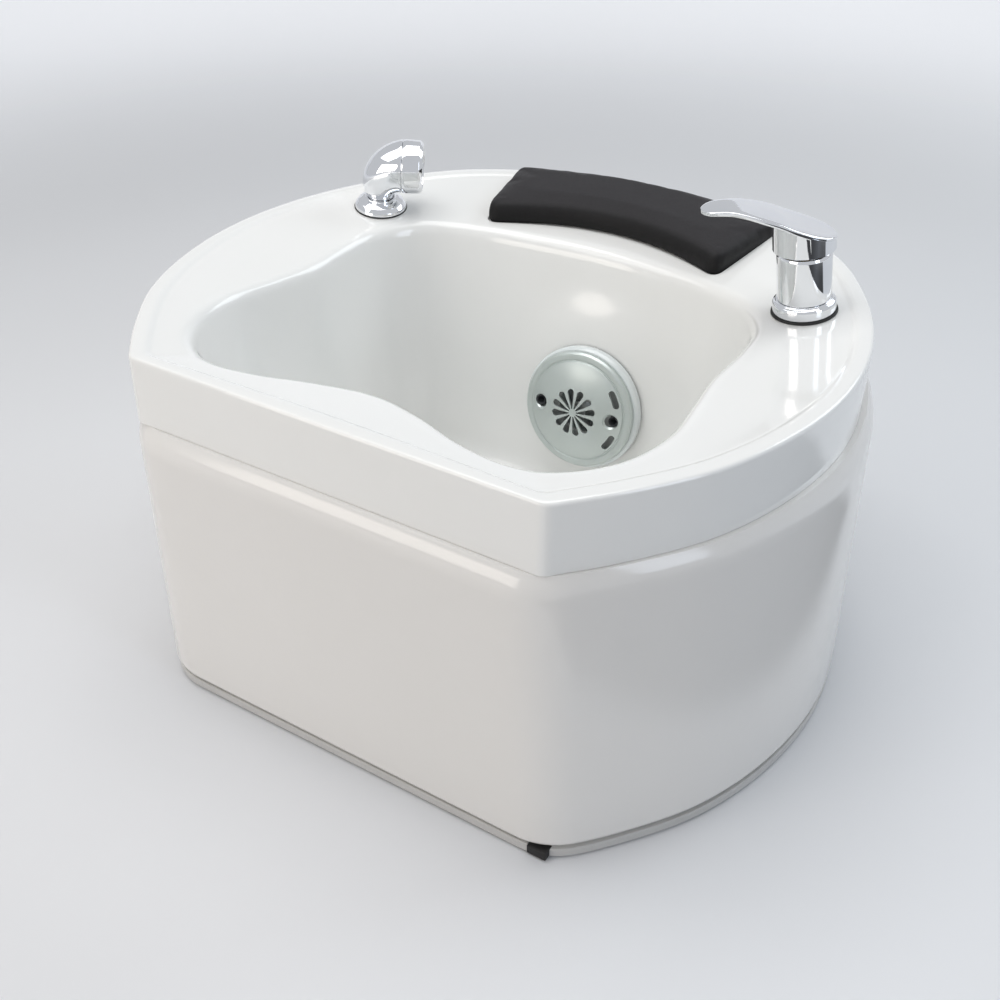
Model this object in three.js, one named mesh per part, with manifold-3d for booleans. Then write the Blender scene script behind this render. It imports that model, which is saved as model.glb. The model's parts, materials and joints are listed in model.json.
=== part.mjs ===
// Pedicure foot basin: an acrylic tub with a dished deck on a moulded skirt, a padded
// foot rest, a single-lever mixer, a pull-out hand shower, a water jet and a drain.
// Millimetres, +Z up. The origin is on the floor under the middle of the tub, the straight
// side that faces the chair looks along -Y, and the mixer stands at the back on +X.
import * as THREE from 'three';
import { mergeVertices } from 'three/addons/utils/BufferGeometryUtils.js';
import Module from 'manifold-3d';

const wasm = await Module();
wasm.setup();

// ---------------------------------------------------------------- driving sizes
const DECK_WIDTH = 676;        // deck, at its widest
const DECK_DEPTH = 615;        // deck, straight front edge to the back
const DECK_HEIGHT = 370;       // floor to the outer edge of the deck
const DECK_FALL = 8;           // degrees, the deck falls towards the basin
const LIP_WIDTH = 14;          // flat lip round the deck's edge
const LIP_STEP = 3;            // and the step down from it
const WALL = 5;                // shell, acrylic with its backing
const RIM_HEIGHT = 60;         // turned-down rim of the shell
const RIM_FLARE = [5, 5];      // how far it flares: sides, front
const BASIN_DEPTH = 288;       // deck edge to the wet floor
const BASIN_FILLET = 32;       // wall to floor
const MOUTH_FILLET = 13;       // deck to wall

const SKIRT_WALL = 4;
const SHOULDER = 12;           // rounded shoulder under the rim
const CORNER_EASE = 30;        // front corners of the skirt and plinth, length of the bend
const SHOULDER_OUT = [4, 7];   // skirt outside the rim at the shoulder: sides, front
const SKIRT_FOOT = [20, 13];   // skirt outside the deck's edge at the bottom: sides, front
const SKIRT_ROUND = 12;        // rounding at the skirt's foot
const SKIRT_CLEAR = 11;        // floor to the skirt
const PLINTH_INSET = 3;        // plinth behind the skirt's foot
const PLINTH_WIDTH = 32;
const CROSS_FROM_DRAIN = [-68, 92];   // its two cross-members, from the drain's middle
const FOOT_RADIUS = 13;
const FOOT_STAND = 1.5;        // feet below the plinth

const PAD_HALF = [136, 168];   // foot pad: half its width, at the front and at the back
const PAD_STAND = [21.3, 5.5]; // its front corners from the basin's mouth, its back ones from the deck's edge
const PAD_BOW = [39, 27];      // rise of its front and back arcs at the middle
const PAD_THICK = 20;
const PAD_TILT = 4.5;          // degrees, the seat rises to the back
const PAD_DROP = 17;           // seat under the deck's edge, at the pad's front
const PAD_BOARD = 4;
const PAD_CLEAR = 1.2;         // seat round the cushion
const STUD_RADIUS = 3;

const TAP_BEARING = 32.91;     // degrees behind the sideways line through the basin's middle
const TAP_INSET = 60.2;        // in from the deck's edge; the shower mirrors both
const TAP_RADIUS = 25;         // mixer body
const TAP_HEIGHT = 62;
const TAP_BASE = 31;           // gasket under the mixer
const CAP_RADIUS = 28.4;       // lever's cap over the body
const LEVER_REACH = 94;
const LEVER_RISE = 128;        // lever's tip above the deck
const LEVER_PIVOT = 54;        // height of the lever's tilting axis above the deck
const CARTRIDGE_RADIUS = 18;
const CARTRIDGE_BORE = 9.4;
const SPINDLE = 8;             // square of the cartridge's spindle
const PIN_RADIUS = 1.6;        // cross pin through the spindle
const NIPPLE_RADIUS = 4.2;
const SHANK_RADIUS = 16.5;
const SHANK_LENGTH = 46;       // below the deck

const SHOWER_FLANGE = 29;
const SPRAY_RADIUS = 28;       // shower head
const SPRAY_TURN = 65;         // degrees from the basin's middle at which the head is parked
const HANDLE_RADIUS = 14;
const SPIGOT_RADIUS = 10.5;
const HOSE_RADIUS = 6.5;

const JET_ASIDE = 17;          // jet on the back wall: right of the middle
const JET_DOWN = 186.5;        // below the deck's edge
const JET_STAND = 1;           // and its seat in front of the wall
const JET_TILT = 10;           // degrees, the back wall leans out
const JET_RADIUS = 69;
const COVER_RADIUS = 65;
const JET_BORE = 45;
const RECESS_RADIUS = 60;      // recess of the housing, for diffuser and cover
const SHAFT_RADIUS = 3;        // jet motor's shaft
const MOTOR_RADIUS = 42;
const IMPELLER_RADIUS = 30;
const NOZZLE_AT = 45;          // nozzles from the jet's axis
const NOZZLE_RADIUS = 5.6;
const COVER_WALL = 2.2;
const PETALS = 12;
const PETAL_REACH = 26.5;

const DRAIN_RADIUS = 34;
const DRAIN_TAIL = 22.5;       // its threaded tail, and the bore through it
const DRAIN_BORE = 19.5;
const PLUG_STEM = 4;
const WASTE_BORE = 10.5;

const SEAT_PROUD = 0.8;        // turned seats of the fittings stand this far above the deck
const GAP = 0.3;               // running and seating clearance
const FRONT_SPOKES = 6;        // facets along the tub's front
const SIDE_SPOKES = 30;        // and round its side
const ROUND = 16;              // facets round hidden fittings
const FINE = 24;               // and round those in view

// ---------------------------------------------------------------- helpers
const rad = THREE.MathUtils.degToRad;
const V2 = (x, y) => new THREE.Vector2(x, y);
const V3 = (x, y, z) => new THREE.Vector3(x, y, z);
const mix = THREE.MathUtils.lerp;

// a three.js geometry as a solid that can be joined and cut
function solid(geometry) {
  if (!geometry.isBufferGeometry) return geometry;
  const bare = new THREE.BufferGeometry();
  bare.setAttribute('position', geometry.getAttribute('position').clone());
  if (geometry.index) bare.setIndex(geometry.index.clone());
  const merged = mergeVertices(bare, 1e-4);
  const triangles = [];
  const index = merged.index.array;
  for (let i = 0; i < index.length; i += 3) {
    const [a, b, c] = [index[i], index[i + 1], index[i + 2]];
    if (a !== b && b !== c && c !== a) triangles.push(a, b, c);
  }
  return new wasm.Manifold(new wasm.Mesh({
    numProp: 3,
    vertProperties: new Float32Array(merged.attributes.position.array),
    triVerts: new Uint32Array(triangles),
  }));
}

// and back to a flat-shaded geometry
function geometryOf(body) {
  const mesh = body.getMesh();
  const geometry = new THREE.BufferGeometry();
  geometry.setAttribute('position', new THREE.BufferAttribute(mesh.vertProperties, 3));
  geometry.setIndex(new THREE.BufferAttribute(mesh.triVerts, 1));
  const flat = geometry.toNonIndexed();
  flat.computeVertexNormals();
  return flat;
}

const cut = (body, ...tools) => tools.reduce((left, tool) => left.subtract(solid(tool)), solid(body));
const join = (body, ...more) => more.reduce((sum, next) => sum.add(solid(next)), solid(body));
const meet = (a, b) => solid(a).intersect(solid(b));

// faces pointing out, whichever way the profile was drawn
function outward(geometry) {
  const p = geometry.getAttribute('position');
  const at = (i) => new THREE.Vector3().fromBufferAttribute(p, i);
  const index = geometry.index ? geometry.index.array : [...Array(p.count).keys()];
  let volume = 0;
  for (let i = 0; i < index.length; i += 3) {
    volume += at(index[i]).dot(at(index[i + 1]).cross(at(index[i + 2])));
  }
  if (volume < 0) {
    const turned = Array.from(index);
    for (let i = 0; i < turned.length; i += 3) [turned[i], turned[i + 1]] = [turned[i + 1], turned[i]];
    geometry.setIndex(turned);
  }
  return geometry;
}

// a profile of [radius, height] pairs turned round the Z axis; a profile that stays off
// the axis closes on itself, as a ring does
function turn(profile, facets = ROUND) {
  const points = profile.map(([r, z]) => V2(r, z));
  if (profile[0][0] > 1e-6) points.push(points[0].clone());
  return outward(new THREE.LatheGeometry(points, facets).rotateX(Math.PI / 2));
}

// a bar of the radius given, standing on z = low
const rod = (radius, low, high, facets = ROUND) =>
  turn([[0, low], [radius, low], [radius, high], [0, high]], facets);

// a tube or washer
const tube = (outer, inner, low, high, facets = ROUND) =>
  turn([[inner, low], [outer, low], [outer, high], [inner, high]], facets);

const box = (x, y, z, w, d, h) => new THREE.BoxGeometry(w, d, h).translate(x, y, z + h / 2);

// a skin through rings of equal count, closed by fans at both ends, or round on itself
function loft(rings, closed = false) {
  const n = rings[0].length;
  const position = rings.flat().flatMap((p) => [p.x, p.y, p.z]);
  const index = [];
  const last = closed ? rings.length : rings.length - 1;
  for (let j = 0; j < last; j += 1) {
    const k = (j + 1) % rings.length;
    for (let i = 0; i < n; i += 1) {
      const [a, b] = [j * n + i, j * n + (i + 1) % n];
      const [c, d] = [k * n + i, k * n + (i + 1) % n];
      index.push(a, b, d, a, d, c);
    }
  }
  if (!closed) {
    [0, rings.length - 1].forEach((j, end) => {
      const hub = position.length / 3;
      const middle = rings[j].reduce((sum, p) => sum.add(p), V3(0, 0, 0)).divideScalar(n);
      position.push(middle.x, middle.y, middle.z);
      for (let i = 0; i < n; i += 1) {
        const [a, b] = [j * n + i, j * n + (i + 1) % n];
        index.push(...(end ? [hub, a, b] : [hub, b, a]));
      }
    });
  }
  const geometry = new THREE.BufferGeometry();
  geometry.setAttribute('position', new THREE.Float32BufferAttribute(position, 3));
  geometry.setIndex(index);
  return outward(geometry);
}

// an outline of Vector2 raised from z = low to z = high
function prism(outline, low, high) {
  const shape = new THREE.Shape(outline);
  return new THREE.ExtrudeGeometry(shape, { depth: high - low, bevelEnabled: false, steps: 1 })
    .translate(0, 0, low);
}

const hexagon = (acrossFlats) => Array.from({ length: 6 }, (_, i) => {
  const r = acrossFlats / Math.sqrt(3);
  return V2(r * Math.cos(i * Math.PI / 3), r * Math.sin(i * Math.PI / 3));
});

// a hexagon nut with its bore
const nut = (acrossFlats, bore, low, high, facets = ROUND) =>
  cut(prism(hexagon(acrossFlats), low, high), rod(bore, low - 1, high + 1, facets));

// a round bar swept along a curve
function sweep(points, radius, steps, facets = 10) {
  const section = new THREE.Shape(Array.from({ length: facets }, (_, i) =>
    V2(radius * Math.cos(2 * Math.PI * i / facets), radius * Math.sin(2 * Math.PI * i / facets))));
  return new THREE.ExtrudeGeometry(section, {
    steps, extrudePath: new THREE.CatmullRomCurve3(points, false, 'centripetal'),
  });
}

// ---------------------------------------------------------------- materials
const paint = (color, roughness, metalness = 0) =>
  new THREE.MeshStandardMaterial({ color, roughness, metalness });
const acrylic = paint(0xeeede9, 0.12);
const skirtWhite = paint(0xe9e6e1, 0.16);
const plinthGrey = paint(0xc9c8c6, 0.45);
const rubber = paint(0x141414, 0.8);
const vinyl = paint(0x2b2a2c, 0.55);
const chrome = paint(0xd8dadb, 0.08, 1);
const brass = paint(0xb99a55, 0.35, 1);
const steel = paint(0xa9adb0, 0.3, 1);
const plastic = paint(0xdfe1e0, 0.4);
const darkPlastic = paint(0x3a3c3f, 0.5);
const hoseGrey = paint(0x9ea2a5, 0.45, 0.6);
const jetSilver = paint(0xb9bdbd, 0.22, 0.85);

// ---------------------------------------------------------------- plan of the tub
// Plan outlines run anticlockwise from the middle of the front. They are drawn for the
// right half as [share of the half width, share of the depth] and mirrored.
const HALF = DECK_WIDTH / 2;
const HUB = V2(0, 0.41 * DECK_DEPTH);   // the basin's middle, over its drain
const CORNER = [0.618, 0];
const DECK_SIDE = [[0.744, 0.078], [0.879, 0.185], [0.967, 0.315], [1, 0.455], [0.966, 0.6],
  [0.862, 0.742], [0.684, 0.876], [0.4, 0.964], [0, 1]];
const MOUTH_HALF = [[0, 0.133], [0.148, 0.115], [0.3, 0.083], [0.435, 0.073], [0.56, 0.098],
  [0.648, 0.155], [0.683, 0.25], [0.663, 0.345], [0.642, 0.43], [0.648, 0.52], [0.632, 0.6],
  [0.545, 0.672], [0.385, 0.715], [0.18, 0.738], [0, 0.746]];
const FLOOR_HALF = [[0, 0.262], [0.15, 0.235], [0.32, 0.198], [0.45, 0.205], [0.53, 0.27],
  [0.545, 0.37], [0.535, 0.47], [0.535, 0.56], [0.475, 0.62], [0.3, 0.645], [0, 0.65]];

const place = ([u, v]) => V3(u * HALF, v * DECK_DEPTH, 0);
const mirrored = (list) => [...list.map(place),
  ...list.slice(0, -1).reverse().map(place).map((p) => p.setX(-p.x))];

// the deck's edge moved out by the distances given, its straight front running to two
// corners that are crisp, or eased over a length
function tubOutline(side = 0, front = 0, ease = 0) {
  const curve = new THREE.CatmullRomCurve3(mirrored([CORNER, ...DECK_SIDE]), false, 'centripetal')
    .getSpacedPoints(600).map((p) => V2(p.x, p.y));
  const moved = curve.map((p, i) => {
    const run = curve[Math.min(i + 1, 600)].clone().sub(curve[Math.max(i - 1, 0)]).normalize();
    return p.clone().add(V2(run.y, -run.x).multiplyScalar(side));
  }).slice(0, 301);
  moved.unshift(moved[0].clone().lerp(moved[10], -12));
  const first = moved.findIndex((p) => p.y > -front);
  const [p, q] = [moved[first - 1], moved[first]];
  const corner = p.clone().lerp(q, (-front - p.y) / (q.y - p.y));
  const start = moved.findIndex((point, i) => i >= first && point.distanceTo(corner) > ease);
  const bend = ease ? new THREE.QuadraticBezierCurve(V2(corner.x - ease, -front), corner, moved[start])
    .getPoints(14).slice(0, -1) : [corner];
  const right = [...bend, ...moved.slice(start)];
  return [...right, ...right.slice(0, -1).reverse().map(({ x, y }) => V2(-x, y))];
}

function closedOutline(half) {
  const points = mirrored(half).slice(0, -1);
  return new THREE.CatmullRomCurve3(points, true, 'centripetal').getSpacedPoints(720)
    .slice(0, -1).map((p) => V2(p.x, p.y));
}

// where the ray from the hub at angle a leaves an outline, and the outline's normal there
function reach(outline, a) {
  const ray = V2(Math.cos(a), Math.sin(a));
  let best = null;
  outline.forEach((p, i) => {
    const q = outline[(i + 1) % outline.length];
    const edge = q.clone().sub(p);
    const wide = ray.x * edge.y - ray.y * edge.x;
    if (Math.abs(wide) < 1e-12) return;
    const to = p.clone().sub(HUB);
    const far = (to.x * edge.y - to.y * edge.x) / wide;
    const along = (to.x * ray.y - to.y * ray.x) / wide;
    if (far > 0 && along >= -1e-9 && along <= 1 + 1e-9) {
      best = { at: HUB.clone().addScaledVector(ray, far), out: V2(edge.y, -edge.x).normalize() };
    }
  });
  return best;
}

// spokes: even steps along the front and round the side, closer together beside the corners
const cornerAngle = Math.atan2(place(CORNER).y - HUB.y, place(CORNER).x);
const BESIDE = [1.8, 4.4];     // degrees from a corner
function spokes(from, to, count) {
  const near = BESIDE.map(rad);
  const [low, high] = [from + near[near.length - 1], to - near[near.length - 1]];
  const even = Array.from({ length: count - 1 }, (_, i) => mix(low, high, (i + 1) / count));
  return [from, ...near.map((step) => from + step), ...even, ...near.map((step) => to - step).reverse()];
}
const ANGLES = [...spokes(-Math.PI - cornerAngle, cornerAngle, FRONT_SPOKES),
  ...spokes(cornerAngle, Math.PI - cornerAngle, SIDE_SPOKES)];

const edgeLine = tubOutline();
const mouthLine = closedOutline(MOUTH_HALF);
const floorLine = closedOutline(FLOOR_HALF);

// the deck's edge on each spoke, with a mitred way out at the two corners
const EDGE = ANGLES.map((a) => {
  const hit = reach(edgeLine, a);
  const off = [a - 1e-4, a + 1e-4].map((b) => reach(edgeLine, b).out);
  const out = off[0].clone().add(off[1]).normalize();
  out.divideScalar(out.dot(off[0]));
  return { at: hit.at, out };
});
const MOUTH = ANGLES.map((a) => reach(mouthLine, a).at);
const FLOOR = ANGLES.map((a) => reach(floorLine, a).at);

// sizes given as [sides, front] turn smoothly from one to the other round the corners
const blend = ([side, front], out) => mix(side, front, Math.max(0, -out.y) ** 2 / out.lengthSq());
const outFrom = (base, distance) => base.at.clone().addScaledVector(base.out, distance);

// height of the deck at a distance in from its edge, the deck's edge being z = 0
const fall = Math.tan(rad(DECK_FALL));
const STEP_IN = LIP_WIDTH + 6;
const deckDrop = (inward) => -LIP_STEP - fall * Math.max(0, inward - STEP_IN);

// ---------------------------------------------------------------- tub, in deck coordinates
// x from the middle, y from the straight front edge, z from the deck's outer edge
const root = new THREE.Group();
const tub = new THREE.Group();
const OVERALL = DECK_DEPTH + SKIRT_FOOT[0] + SKIRT_FOOT[1];
tub.position.set(0, SKIRT_FOOT[1] - OVERALL / 2, DECK_HEIGHT);
root.add(tub);

function put(name, shape, material, parent = tub) {
  const mesh = new THREE.Mesh(geometryOf(solid(shape)), material);
  mesh.name = name;
  parent.add(mesh);
  return mesh;
}

// a frame on the tub: its origin, its Z axis, and the X axis's heading before it is leaned
function frame(at, axis, heading) {
  const group = new THREE.Group();
  const z = axis.clone().normalize();
  const x = heading.clone().addScaledVector(z, -heading.dot(z)).normalize();
  const basis = new THREE.Matrix4().makeBasis(x, z.clone().cross(x), z);
  group.quaternion.setFromRotationMatrix(basis);
  group.position.copy(at);
  tub.add(group);
  group.updateMatrix();
  return group;
}
const inTub = (shape, group) => outward(shape.clone().applyMatrix4(group.matrix));

// frames of the fittings: the deck leans towards the basin under mixer and shower
function deckFrame(bearing) {
  const edge = reach(edgeLine, bearing).at;
  const inward = HUB.clone().sub(edge).normalize();
  const { x, y } = edge.addScaledVector(inward, TAP_INSET);
  const lean = rad(DECK_FALL);
  const axis = V3(inward.x * Math.sin(lean), inward.y * Math.sin(lean), Math.cos(lean));
  return frame(V3(x, y, deckDrop(TAP_INSET) + SEAT_PROUD), axis, V3(inward.x, inward.y, 0));
}
const tap = deckFrame(rad(TAP_BEARING));
const shower = deckFrame(Math.PI - rad(TAP_BEARING));
const SUMP = 3;                // fall of the floor to the drain
const FLOOR_LEVEL = -BASIN_DEPTH - SUMP;
const drain = frame(V3(HUB.x, HUB.y, FLOOR_LEVEL), V3(0, 0, 1), V3(1, 0, 0));

// the foot pad lies between the mouth and the deck's back edge
const farSide = (line, x) => Math.max(...line.map((p, k) => {
  const q = line[(k + 1) % line.length];
  const spans = (p.x - x) * (q.x - x) <= 0 && p.x !== q.x;
  return spans ? mix(p.y, q.y, (x - p.x) / (q.x - p.x)) : -Infinity;
}));
const PAD_FRONT = [PAD_HALF[0], farSide(mouthLine, PAD_HALF[0]) + PAD_STAND[0]];
const PAD_BACK = [PAD_HALF[1], farSide(edgeLine, PAD_HALF[1]) - PAD_STAND[1]];
const pad = frame(V3(0, PAD_FRONT[1] + PAD_BOW[0], -PAD_DROP),
  V3(0, -Math.sin(rad(PAD_TILT)), Math.cos(rad(PAD_TILT))), V3(1, 0, 0));

// ---------------------------------------------------------------- basin shell
// One profile a spoke, from the drain over the floor, the wall, the mouth, the dished deck
// and the lip to the foot of the rim; the underside follows it one wall thickness behind.
function profile(i) {
  const edge = EDGE[i];
  const width = edge.at.distanceTo(MOUTH[i]);
  const across = (inward) => edge.at.clone().lerp(MOUTH[i], inward / width);
  const deck = (inward) => ({ p: across(inward), z: deckDrop(inward) });
  const bend = (a, b, c, steps) => Array.from({ length: steps + 1 }, (_, k) => {
    const t = k / steps;
    const w = [(1 - t) ** 2, 2 * t * (1 - t), t * t];
    return {
      p: V2(0, 0).addScaledVector(a.p, w[0]).addScaledVector(b.p, w[1]).addScaledVector(c.p, w[2]),
      z: w[0] * a.z + w[1] * b.z + w[2] * c.z,
    };
  });
  const floorEdge = { p: FLOOR[i], z: -BASIN_DEPTH };
  const inside = FLOOR[i].distanceTo(HUB);
  const floorIn = { p: HUB.clone().lerp(FLOOR[i], 1 - BASIN_FILLET / inside), z: -BASIN_DEPTH };
  const mouthTop = deck(width - 2);
  const drop = mouthTop.z - floorEdge.z;
  const wallAt = (down) => ({ p: mouthTop.p.clone().lerp(FLOOR[i], down / drop), z: mouthTop.z - down });
  const wet = [
    { p: HUB.clone().lerp(FLOOR[i], (DRAIN_RADIUS + 11) / inside), z: FLOOR_LEVEL },
    { p: HUB.clone().lerp(FLOOR[i], (DRAIN_RADIUS + 26) / inside), z: -BASIN_DEPTH },
    ...bend(floorIn, floorEdge, wallAt(drop - BASIN_FILLET), 3),
    ...bend(wallAt(MOUTH_FILLET), mouthTop, deck(width - MOUTH_FILLET), 3),
    deck(STEP_IN), { p: across(LIP_WIDTH), z: 0 },
    { p: across(4), z: 0 }, { p: across(1.2), z: -1.2 }, { p: edge.at.clone(), z: -4 },
    { p: outFrom(edge, blend(RIM_FLARE, edge.out)), z: -RIM_HEIGHT },
  ];
  return wet;
}

// the profile moved to its dry side by the wall thickness, in its own upright plane
function dryside(line) {
  const dirs = line.slice(1).map((q, k) => {
    const p = line[k];
    const run = q.p.clone().sub(p.p);
    const flat = Math.sign(run.dot(q.p.clone().sub(HUB))) * run.length();
    const length = Math.hypot(flat, q.z - p.z);
    return [flat / length, (q.z - p.z) / length];
  });
  return line.map((q, k) => {
    const a = dirs[Math.max(0, k - 1)];
    const b = dirs[Math.min(dirs.length - 1, k)];
    let n = [a[1] + b[1], -(a[0] + b[0])];
    const size = Math.hypot(...n);
    n = n.map((v) => v / size);
    const mitre = Math.min(1.6, 1 / (n[0] * a[1] - n[1] * a[0]));
    const away = q.p.clone().sub(HUB).normalize();
    return { p: q.p.clone().addScaledVector(away, n[0] * WALL * mitre), z: q.z + n[1] * WALL * mitre };
  });
}

const wetLines = ANGLES.map((_, i) => profile(i));
const dryLines = wetLines.map((line, i) => {
  const dry = dryside(line);
  const foot = EDGE[i];
  dry[dry.length - 1] = {
    p: outFrom(foot, blend(RIM_FLARE, foot.out) - WALL), z: -RIM_HEIGHT,
  };
  return dry;
});
const DRY_SKIP = new Set([3, 4, 7, 10, 13]);   // rings that the hidden underside does without
const ringOf = (lines, k) => lines.map((line) => V3(line[k].p.x, line[k].p.y, line[k].z));
const count = wetLines[0].length;
const shellRings = [
  ...Array.from({ length: count }, (_, k) => ringOf(wetLines, k)),
  ...Array.from({ length: count }, (_, k) => count - 1 - k).filter((k) => !DRY_SKIP.has(k))
    .map((k) => ringOf(dryLines, k)),
];

// the pad's plan: two arcs and two straight ends, grown by a margin
function padPlan(margin, back = 0, steps = 16) {
  const arc = (corner, bow, shift) => Array.from({ length: steps + 1 }, (_, k) => {
    const t = 1 - 2 * k / steps;
    return V2(t * corner[0], corner[1] + bow * (1 - t * t) + shift);
  });
  const splay = (PAD_BACK[0] - PAD_FRONT[0]) / (PAD_BACK[1] - PAD_FRONT[1]);
  const front = arc([PAD_FRONT[0] + margin, PAD_FRONT[1]], PAD_BOW[0], -margin).reverse();
  const rear = arc([PAD_BACK[0] + margin + back * splay, PAD_BACK[1]], PAD_BOW[1], margin + back);
  return [...front, ...rear].map((p) => V2(p.x, p.y - PAD_FRONT[1] - PAD_BOW[0]));
}

// the shell's deck as a thick ring, from which the walls of the pad's seat are taken
const deckBlock = (() => {
  const top = [STEP_IN + 130, STEP_IN, LIP_WIDTH, 4];
  const sunk = 1;              // its top stays inside the shell's thickness
  const ring = (inward, z) => ANGLES.map((_, i) => {
    const width = EDGE[i].at.distanceTo(MOUTH[i]);
    const s = Math.min(inward, width - MOUTH_FILLET);
    const p = EDGE[i].at.clone().lerp(MOUTH[i], s / width);
    return V3(p.x, p.y, z === undefined ? (inward > LIP_WIDTH ? deckDrop(s) : 0) - sunk : z);
  });
  return loft([...top.map((s) => ring(s)), ring(4, -40), ring(top[0], -40)], true);
})();

// the jet looks out of the back wall, square to it
const backWall = wetLines[ANGLES.findIndex((a) => a > Math.PI / 2 - 1e-6)];
const [wallLow, wallHigh] = backWall.slice(5, 7);
const jetHeight = (-JET_DOWN - wallLow.z) / (wallHigh.z - wallLow.z);
const jet = frame(V3(JET_ASIDE, mix(wallLow.p.y, wallHigh.p.y, jetHeight) - JET_STAND, -JET_DOWN),
  V3(0, -Math.cos(rad(JET_TILT)), Math.sin(rad(JET_TILT))), V3(1, 0, 0));

const seatFloor = inTub(prism(padPlan(WALL + PAD_CLEAR, 60), -WALL, 60), pad);
const seatRoom = inTub(prism(padPlan(PAD_CLEAR, 60), 0, 60), pad);
const boss = (group, radius, low, high, facets = ROUND) => inTub(rod(radius, low, high, facets), group);
const BOSS_DEPTH = WALL + 4;
const JET_SEAT = 1;            // face of the jet's boss
const DRAIN_SEAT = 0.2;        // and of the drain's
const padDeep = PAD_BACK[1] - PAD_FRONT[1];
const studs = [-1, 1].map((s) => V2(s * 0.6 * PAD_HALF[0], 0.6 * (padDeep + PAD_BOW[1] - PAD_BOW[0])));

// the jet stands on a flat moulded into the curved wall
const mouthRing = count - 8;   // the profile's last ring below the mouth's rounding
const hollow = loft(Array.from({ length: mouthRing }, (_, k) => ringOf(wetLines, k)));
const jetFlat = cut(boss(jet, JET_RADIUS + 3 + WALL, -BOSS_DEPTH, 30, FINE), hollow);

let shell = join(loft(shellRings), meet(deckBlock, seatFloor));
shell = cut(shell, seatRoom);
shell = join(shell, jetFlat,
  boss(tap, TAP_BASE, -BOSS_DEPTH, 0), boss(shower, SHOWER_FLANGE, -BOSS_DEPTH, 0),
  boss(drain, DRAIN_RADIUS + 8, -BOSS_DEPTH, DRAIN_SEAT));
shell = cut(shell, boss(jet, JET_RADIUS + 3, JET_SEAT, 60, FINE),
  boss(tap, SHANK_RADIUS + 1.5, -40, 20), boss(shower, HANDLE_RADIUS + 1, -40, 20),
  boss(jet, JET_BORE + 1, -40, 40, FINE), boss(drain, DRAIN_TAIL + 0.5, -40, 20, FINE),
  ...studs.map(({ x, y }) => inTub(rod(STUD_RADIUS + 1, -30, 30, 16).translate(x, y, 0), pad)));
put('basin_shell', shell, acrylic);

// ---------------------------------------------------------------- skirt, plinth, feet
const SKIRT_TOP = -RIM_HEIGHT - GAP;
const skirtBottom = -DECK_HEIGHT + SKIRT_CLEAR;
const round = (from, to, steps) =>
  Array.from({ length: steps + 1 }, (_, k) => rad(mix(from, to, k / steps)));

// a closed section that rides round the tub: each corner of it lies a share of the way
// from one plan outline to another, at a height
const planLine = ([side, front]) => {
  const line = tubOutline(side, front, CORNER_EASE);
  return ANGLES.map((a) => reach(line, a).at);
};
const plus = (a, b) => a.map((v, i) => v + b[i]);
const ringBody = (section) => loft(section.map(([from, to, share, z]) =>
  from.map((p, i) => V3(mix(p.x, to[i].x, share), mix(p.y, to[i].y, share), z))), true);

const ledgeLine = planLine(plus(RIM_FLARE, [-20, -20]));
const shoulderLine = planLine(plus(RIM_FLARE, SHOULDER_OUT));
const footLine = planLine(SKIRT_FOOT);
const FLANGE_IN = 34;          // turned-in flange at the skirt's foot
const flangeLine = planLine(plus(SKIRT_FOOT, [-FLANGE_IN, -FLANGE_IN]));
const inShoulder = (distance) => distance / (20 + SHOULDER_OUT[0]);
const inFoot = (distance) => distance / FLANGE_IN;
const innerRound = SKIRT_ROUND - SKIRT_WALL;
const shoulderRun = SHOULDER_OUT[0] - 0.5;

put('skirt_shell', ringBody([
  [ledgeLine, ledgeLine, 0, SKIRT_TOP],
  ...round(90, 0, 3).map((a) => [shoulderLine, ledgeLine,
    inShoulder(shoulderRun * (1 - Math.cos(a))), SKIRT_TOP - SHOULDER * (1 - Math.sin(a))]),
  ...round(0, -90, 3).map((a) => [footLine, flangeLine, inFoot(SKIRT_ROUND * (1 - Math.cos(a))),
    skirtBottom + SKIRT_ROUND * (1 + Math.sin(a))]),
  [flangeLine, flangeLine, 0, skirtBottom],
  [flangeLine, flangeLine, 0, skirtBottom + SKIRT_WALL],
  ...round(-90, 0, 2).map((a) => [footLine, flangeLine, inFoot(SKIRT_ROUND - innerRound * Math.cos(a)),
    skirtBottom + SKIRT_ROUND + innerRound * Math.sin(a)]),
  [shoulderLine, ledgeLine, inShoulder(SKIRT_WALL), SKIRT_TOP - SHOULDER],
  [shoulderLine, ledgeLine, inShoulder(SKIRT_WALL + shoulderRun * 0.5), SKIRT_TOP - SKIRT_WALL],
  [ledgeLine, ledgeLine, 0, SKIRT_TOP - SKIRT_WALL],
]), skirtWhite);

const plinthLow = -DECK_HEIGHT + FOOT_STAND;
const plinthOut = plus(SKIRT_FOOT, [-PLINTH_INSET, -PLINTH_INSET]);
const plinthIn = plus(plinthOut, [-PLINTH_WIDTH, -PLINTH_WIDTH]);
const [outerLine, innerLine] = [plinthOut, plinthIn].map(planLine);
const plinthMiddle = plus(plinthOut, [-PLINTH_WIDTH / 2, -PLINTH_WIDTH / 2]);
const midPlinth = tubOutline(...plinthMiddle, CORNER_EASE);
const FOOT_SPOTS = [238, 127, 302, 53].map((a) => reach(midPlinth, rad(a)).at);
const CROSS = CROSS_FROM_DRAIN.map((v) => HUB.y + v);   // cross-members under the bowl
const crossHalf = (y) => reach(midPlinth, Math.atan2(y - HUB.y, HALF)).at.x;
const BLOCK_WIDTH = 19;        // rubber block let into the plinth's right front corner
const BLOCK_DEPTH = 12;
const blockAt = V2(place(CORNER).x + 5, -plinthOut[1]);
const cornerBox = (wide, front, low, high) => {
  const deep = BLOCK_DEPTH + GAP + front;
  return box(blockAt.x, blockAt.y + deep / 2 - front, low, wide, deep, high - low);
};

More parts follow.
